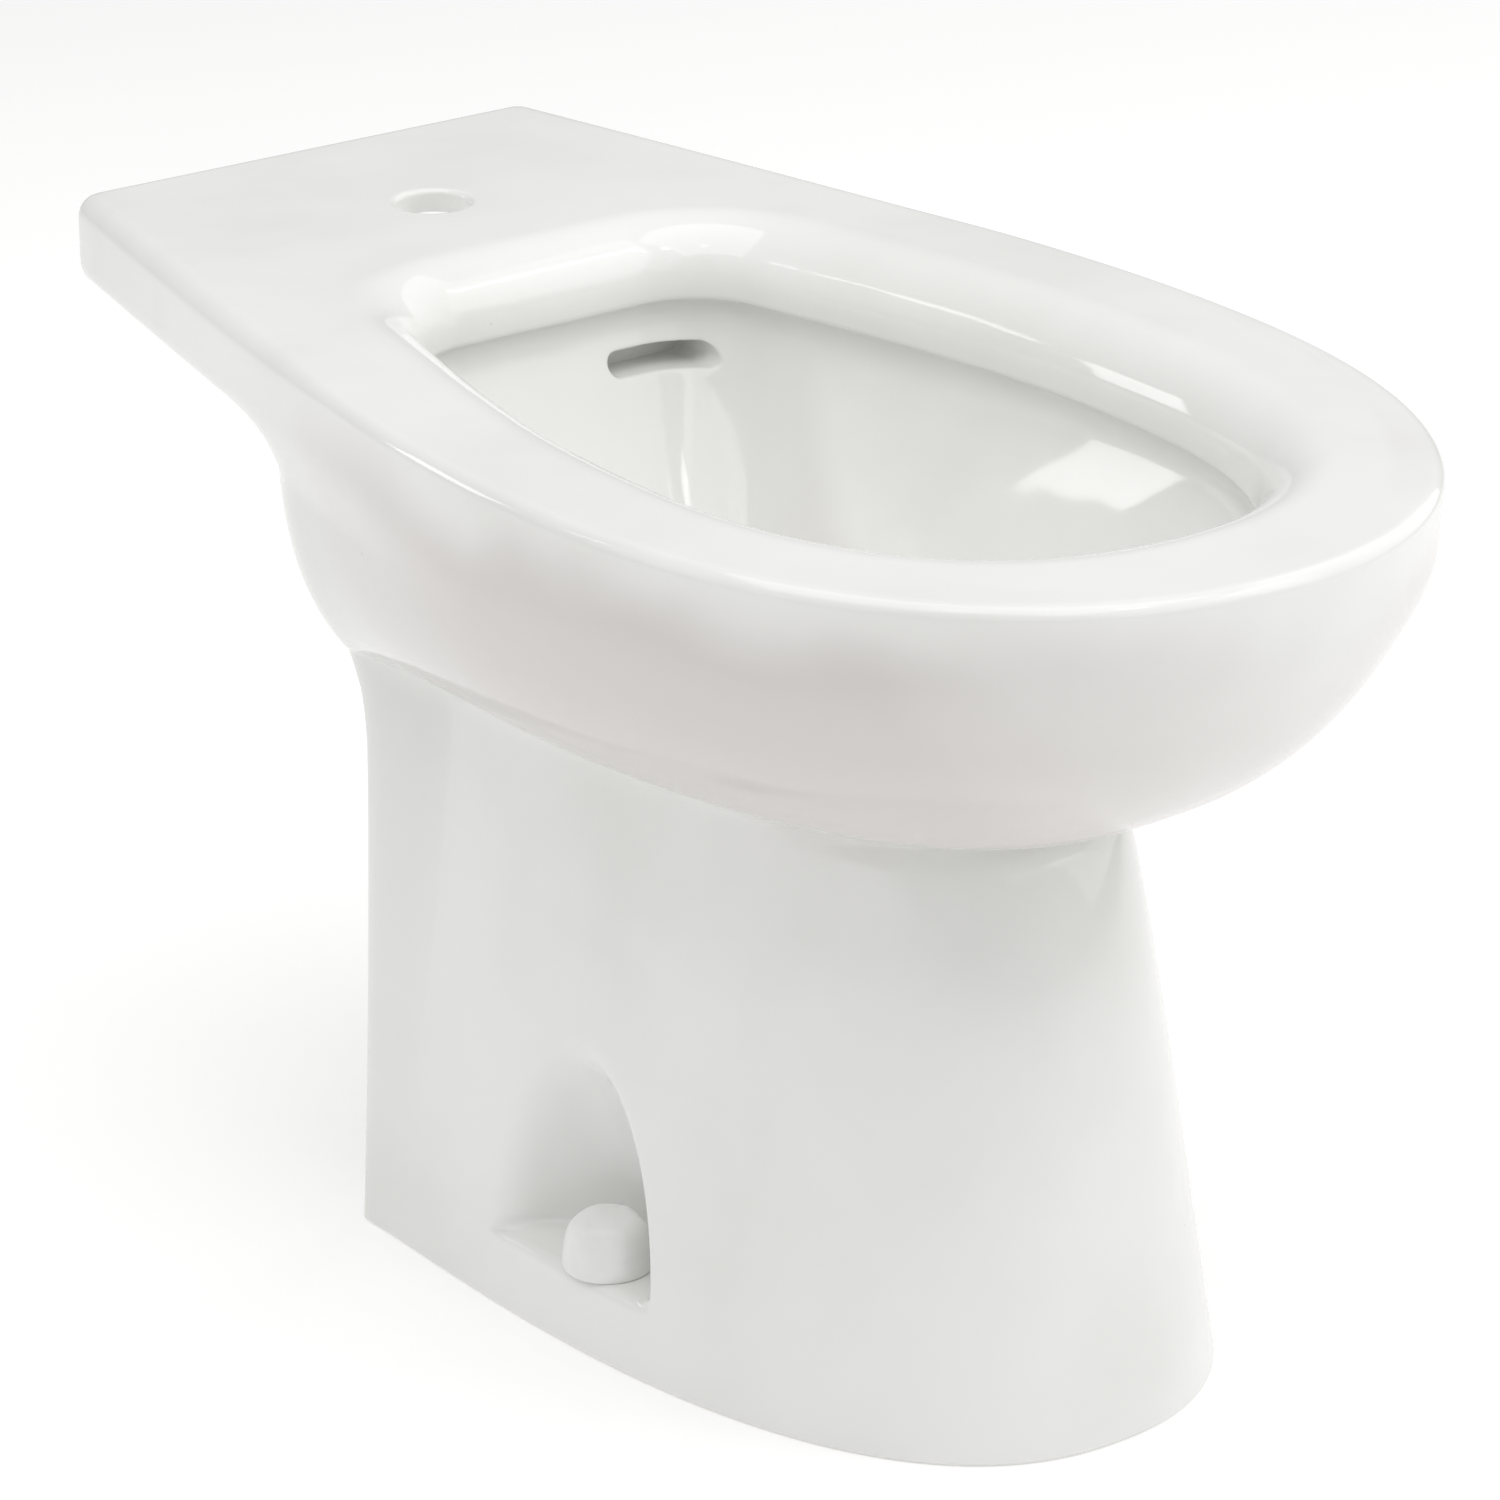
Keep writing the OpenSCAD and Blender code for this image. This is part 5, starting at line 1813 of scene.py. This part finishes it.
@dataclass(frozen=True)
class WasteSet:
    """Push waste, its seals and nuts, and the pipe below it."""

    centre: Axis
    shop: Workshop
    bore: float = 17.8
    thread: float = 20.8
    low: float = 155.0
    flange: float = 32.0
    seat: float = 209.0
    top: float = 212.2
    pitch: float = 1.8
    window_z: float = 200.5
    window_r: float = 4.5
    seal_bore: float = 21.1
    gasket_radius: float = 31.0
    seal_radius: float = 33.0
    plug_rim: float = 20.4
    plug_low: float = 210.2
    plug_dome: float = 3.0
    rod: float = 4.0
    rod_low: float = 173.0
    nut_across: float = 59.07
    nut_hole: float = 20.75
    nut_turn: float = 15.0
    pipe_bore: float = 14.6
    pipe_radius: float = 15.75
    pipe_low: float = 67.0
    pipe_top: float = 164.0
    tail_radius: float = 25.2
    tail_low: float = 148.5
    tail_top: float = 166.5
    lugs: int = 8

    def build(self) -> None:
        """Builds every piece of the waste."""
        self.flanged_tube()
        self.seals()
        self.plug()
        self.nuts_and_pipe()
        log.info("waste: tube, seals, plug, nuts and pipe")

    def along(self, degrees: float, reach: float, z: float) -> tuple[Array, Array]:
        """Point at a distance from the axis in a direction, and the direction across.

        Args:
            degrees: the direction.
            reach: the distance.
            z: height in millimetres.

        Returns:
            The point and the direction across.
        """
        a = math.radians(degrees)
        return np.array([*self.centre, z]) + reach * np.array([math.cos(a), math.sin(a), 0]), \
            np.array([-math.sin(a), math.cos(a), 0])

    def flanged_tube(self) -> None:
        """Tube with its flange, windows, bridge and thread."""
        shop, low, bore, thread, flange = self.shop, self.low, self.bore, self.thread, self.flange
        z, top, root = self.seat, self.top, thread - 0.35
        book = MeshBook()
        turned(book, [
            (bore, 180, 0), (bore, low, 0.4), (thread - 0.8, low, 0.2), (root, low + 0.8, 0.2), (root, z, 0.2),
            (flange, z, 0.5), (flange - 0.2, z + 1.2, 0.8), (flange - 3.4, top, 3.0), (21.2, top, 0.5),
            (20.8, 210.2, 0.3), (18.7, 210.2, 0.6), (bore, 209.2, 0.4), (bore, 180, 0)], self.centre, 160, 6, True)
        tube = shop.make(book, "waste_tube", "chrome")
        cutters, a, r = MeshBook(), turns(40)[:, None], self.window_r
        for degrees in (45, 90, 135, 225, 270, 315):
            rows = []
            for reach in (12.0, 26.0):
                p, across = self.along(degrees, reach, self.window_z)
                ring = cutters.add(p + r * across * np.cos(a) + r * UP * np.sin(a))
                rows += [cutters.pole(p, 40), ring] if not rows else [ring, cutters.pole(p, 40)]
            cutters.loft(rows)
        tool = shop.make(cutters, "window_tool", "chrome")
        cut = tube.modifiers.new("windows", "BOOLEAN")
        cut.operation, cut.object, cut.solver = "DIFFERENCE", tool, "EXACT"
        bake(tube, cut)
        bpy.data.objects.remove(tool)
        bridge = MeshBook()
        hub = [(7.0, 175, 0), (9.0, 175, 0.6), (9.0, 187, 0.6), (7.0, 187, 0), (7.0, 175, 0)]
        turned(bridge, hub, self.centre, 64, 4, True)
        web = [(0, 175, 0), (1.5, 175, 0.5), (1.5, 184, 0.5), (-1.5, 184, 0.5), (-1.5, 175, 0.5), (0, 175, 0)]
        loop = np.array(rounded(web, 3)[:-1])
        for degrees in (0, 90, 180, 270):
            rows = []
            for reach in (18.0, 8.2):
                p, across = self.along(degrees, reach, 0)
                rows.append(bridge.add(p + across * loop[:, :1] + UP * loop[:, 1:]))
            bridge.loft(rows)
        spokes = shop.make(bridge, "waste_bridge", "chrome")
        shop.coil.wind(tube, self.centre, root, low + 1.2, 51.0, self.pitch)
        dress(tube, "base", "chrome", "waste_body")
        dress(spokes, "base", "chrome")

    def heights(self, node: str) -> tuple[float, float]:
        """Lowest and highest Z of a node in the frame, in millimetres."""
        low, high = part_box(node)
        return low[2] / MM, high[2] / MM

    def seals(self) -> None:
        """Flange seal, under seal and slip washer."""
        lathe, at, bore = self.shop.lathe, self.centre, self.seal_bore
        gasket = ring_profile(bore, self.gasket_radius, self.seat - 2, self.seat, 0.4, 0.9)
        under = ring_profile(bore, self.seal_radius, self.heights("under_seal")[0], self.seat - 16, 0.4, 1.2)
        slip = ring_profile(bore, self.seal_radius - 1, *self.heights("slip_washer"), 0.2, 0.4)
        lathe("flange_gasket", "rubber", "flange_seal", gasket, at)
        lathe("under_gasket", "rubber", "under_seal", under, at)
        lathe("slip_ring", "nylon", "slip_washer", slip, at)

    def plug(self) -> None:
        """Domed plug with its soft ring, stem and guide."""
        lathe, at, rim, low, high = self.shop.lathe, self.centre, self.plug_rim, self.plug_low, self.plug_low + 1.2
        rise, rod, foot = self.plug_dome, self.rod, self.rod_low
        dome = [(rim * math.cos(a), high + rise * math.sin(a), 0) for a in np.radians(np.linspace(6, 90, 20))]
        edge = [(0, low, 0), (rim - 1.4, low, 0), (rim, low, 0.4), (rim, high, 0)]
        dome[-1] = (0, high + rise, 0)
        lathe("plug_dome", "chrome", "plug_cap", edge + dome, at, "plug", False, steps=4, sharp=60.0)
        lathe("plug_ring", "rubber", "plug_seal", [
            (6, 209, 0), (6, 208, 0.3), (17.45, 208, 0.8), (17.45, low, 0.5), (6, low, 0.3), (6, 209, 0)],
            at, "plug")
        lathe("plug_rod", "steel", "plug_stem", [
            (0, foot, 0), (rod, foot, 0.6), (rod, 198.3, 0.1), (6, 198.3, 0.3), (6, low, 0.2), (0, low, 0)],
            at, "plug", False, 64)
        lathe("latch_guide", "nylon", "plug_guide", [
            (0, foot - 4, 0), (7, foot - 4, 0.5), (7, 198, 0.5), (rod + 0.06, 198, 0.3), (rod + 0.06, foot - 2, 0.2),
            (0, foot - 2, 0)], at, "base", False, 64)

    def nuts_and_pipe(self) -> None:
        """Large hexagon nut, tail pipe, its soft ring and its lugged nut."""
        shop, at, bore, pipe = self.shop, self.centre, self.pipe_bore, self.pipe_radius
        low, top = self.heights("back_nut")
        book = MeshBook()
        hex_nut(book, at, low, top - low, self.nut_across, self.nut_hole, self.nut_turn)
        dress(shop.make(book, "lock_nut", "brass", 30.0), "base", "brass", "back_nut")
        low, top, lip = self.pipe_low, self.pipe_top, self.pipe_top - 2
        shop.lathe("outlet_pipe", "chrome", "tail_pipe", [
            (bore, 120, 0), (bore, low, 0.3), (16.0, low, 0.5), (16.0, 145.2, 0.2), (pipe, 145.6, 0.1),
            (pipe, lip, 0.3), (17.45, lip, 0.2), (17.45, top, 0.3), (bore, top, 0.3), (bore, 120, 0)], at)
        seat, low, top, wide, book = self.low - 4, self.tail_low, self.tail_top, self.tail_radius, MeshBook()
        shop.lathe("cone_ring", "rubber", "tail_ring", ring_profile(pipe, 20.5, seat, self.low), at)
        turned(book, [
            (16.3, low + 1, 0), (16.3, low, 0.3), (wide, low, 1.0), (wide, top, 1.0), (self.nut_hole, top, 0.4),
            (self.nut_hole, seat, 0.3), (16.3, seat, 0.3), (16.3, low + 1, 0)], at, 128, 5, True)
        nut = shop.make(book, "pipe_nut", "chrome")
        shop.lugs.run(nut, at, (low + top) / 2, {
            "Radius": 24.6 * MM, "Lug Width": 2.1 * MM, "Lug Height": 15.4 * MM, "Count": self.lugs})
        dress(nut, "base", "chrome", "tail_nut")


# ---------------------------------------------------------------- studio
@dataclass(frozen=True)
class Lamp:
    """A soft box: bearing and height angle from the object, distance, sides and power."""

    name: str
    turn: float
    lift: float
    reach: float
    size: Axis
    power: float


@dataclass
class Studio:
    """Camera, lights and floor."""

    yaw: float = -36.573
    pitch: float = 22.627
    place: Corner = (-1.3431, -1.8103, 1.1465)
    focal_px: float = 6116.08
    frame_px: float = 1500.0
    sensor_mm: float = 36.0
    sky: float = 0.368
    aim: Corner = (0.0, 0.0, 0.22)
    floor_reach: float = 9000.0
    lamps: tuple[Lamp, ...] = (
        Lamp("front", 18, 42, 3.2, (3.2, 2.4), 15.8),
        Lamp("key", 10, 59, 2.6, (0.3, 0.16), 0.8),
        Lamp("strip", 49, 51, 2.8, (0.8, 0.12), 1.0),
        Lamp("corner", -52, 67, 2.6, (0.26, 0.2), 0.45),
        Lamp("window", -143.5, 17.5, 2.4, (0.54, 0.54), 3.3),
        Lamp("slit", -131, 35.2, 2.4, (0.10, 0.52), 0.66),
        Lamp("top", -60, 80, 2.8, (3.0, 3.0), 44.0),
        Lamp("right", 72, 32, 3.0, (4.4, 3.0), 36.0),
        Lamp("left", -95, 38, 2.8, (3.0, 2.4), 7.6),
    )

    @staticmethod
    def hang(made: bpy.types.Object, place: Vector, way: Vector) -> None:
        """Links a lamp or camera at a place, looking against a direction.

        Args:
            made: the lamp or camera.
            place: its place.
            way: direction from the object to it.
        """
        bpy.context.scene.collection.objects.link(made)
        made.location = place
        made.rotation_mode = "QUATERNION"
        made.rotation_quaternion = (-way).to_track_quat("-Z", "Y")

    @staticmethod
    def way(turn: float, lift: float) -> Vector:
        """Direction at a bearing and height angle in degrees, 0 towards the nose."""
        a, e = math.radians(turn), math.radians(lift)
        return Vector((math.sin(a) * math.cos(e), -math.cos(a) * math.cos(e), math.sin(e)))

    def camera(self) -> None:
        """Places the camera as it was solved from the photograph."""
        data = bpy.data.cameras.new("camera")
        data.sensor_fit, data.sensor_width = "HORIZONTAL", self.sensor_mm
        data.lens = self.focal_px / self.frame_px * self.sensor_mm
        data.clip_start, data.clip_end = 0.05, 60.0
        made = bpy.data.objects.new("camera", data)
        self.hang(made, Vector(self.place), self.way(self.yaw, self.pitch))
        bpy.context.scene.camera = made

    def light(self, lamp: Lamp) -> None:
        """Adds a soft box that faces the object.

        Args:
            lamp: the soft box.
        """
        data = bpy.data.lights.new(lamp.name, "AREA")
        data.shape, data.energy = "RECTANGLE", lamp.power
        data.size, data.size_y = lamp.size
        way = self.way(lamp.turn, lamp.lift)
        self.hang(bpy.data.objects.new(lamp.name, data), Vector(self.aim) + way * lamp.reach, way)

    def build(self) -> None:
        """Makes the whole studio."""
        self.camera()
        scene = bpy.context.scene
        scene.view_settings.view_transform = "Standard"
        world = scene.world = bpy.data.worlds.new("studio_world")
        world.use_nodes = True
        sky = world.node_tree.nodes["Background"].inputs
        sky[0].default_value, sky[1].default_value = (1, 1, 0.99, 1), self.sky
        for lamp in self.lamps:
            self.light(lamp)
        book = MeshBook()
        corners = np.array([(-1, -1, 0), (1, -1, 0), (1, 1, 0), (-1, 1, 0)]) * self.floor_reach
        book.faces.append(tuple(int(i) for i in book.add(corners)))
        floor = book.make("studio_floor", StudioPaint().material())
        log.info("studio: camera, lamps and floor")


def main() -> None:
    """Builds every sub-assembly in order."""
    logging.basicConfig(level=logging.INFO, format="%(message)s")
    Studio().build()
    size = BodySizes()
    china = ChinaBody(BodyForm(size), Glaze().material()).build()
    dress(china, "base", "china", "china_body")
    finishes = {
        "cap_plastic": Plastic("cap_plastic", (0.87, 0.875, 0.86), 0.26, 0.12).material(),
        "nylon": Plastic("nylon", (0.78, 0.76, 0.69), 0.42, 0.3).material(),
        "steel": Metal("zinc_steel", (0.58, 0.59, 0.60), Polish.PLATED).material(),
        "chrome": Metal("chrome_plate", (0.80, 0.81, 0.83), Polish.MIRROR).material(),
        "brass": Metal("turned_brass", (0.78, 0.60, 0.32), Polish.TURNED).material(),
        "rubber": SoftRubber().material(),
    }
    shop = Workshop(finishes, Coil(), Lugs())
    for side in Side:
        Fixings(side, (side.value * size.bolt_gap / 2, size.bolt_y), size.ledge, shop).build()
    WasteSet((0.0, size.waste_y), shop).build()


if __name__ == "__main__":
    main()
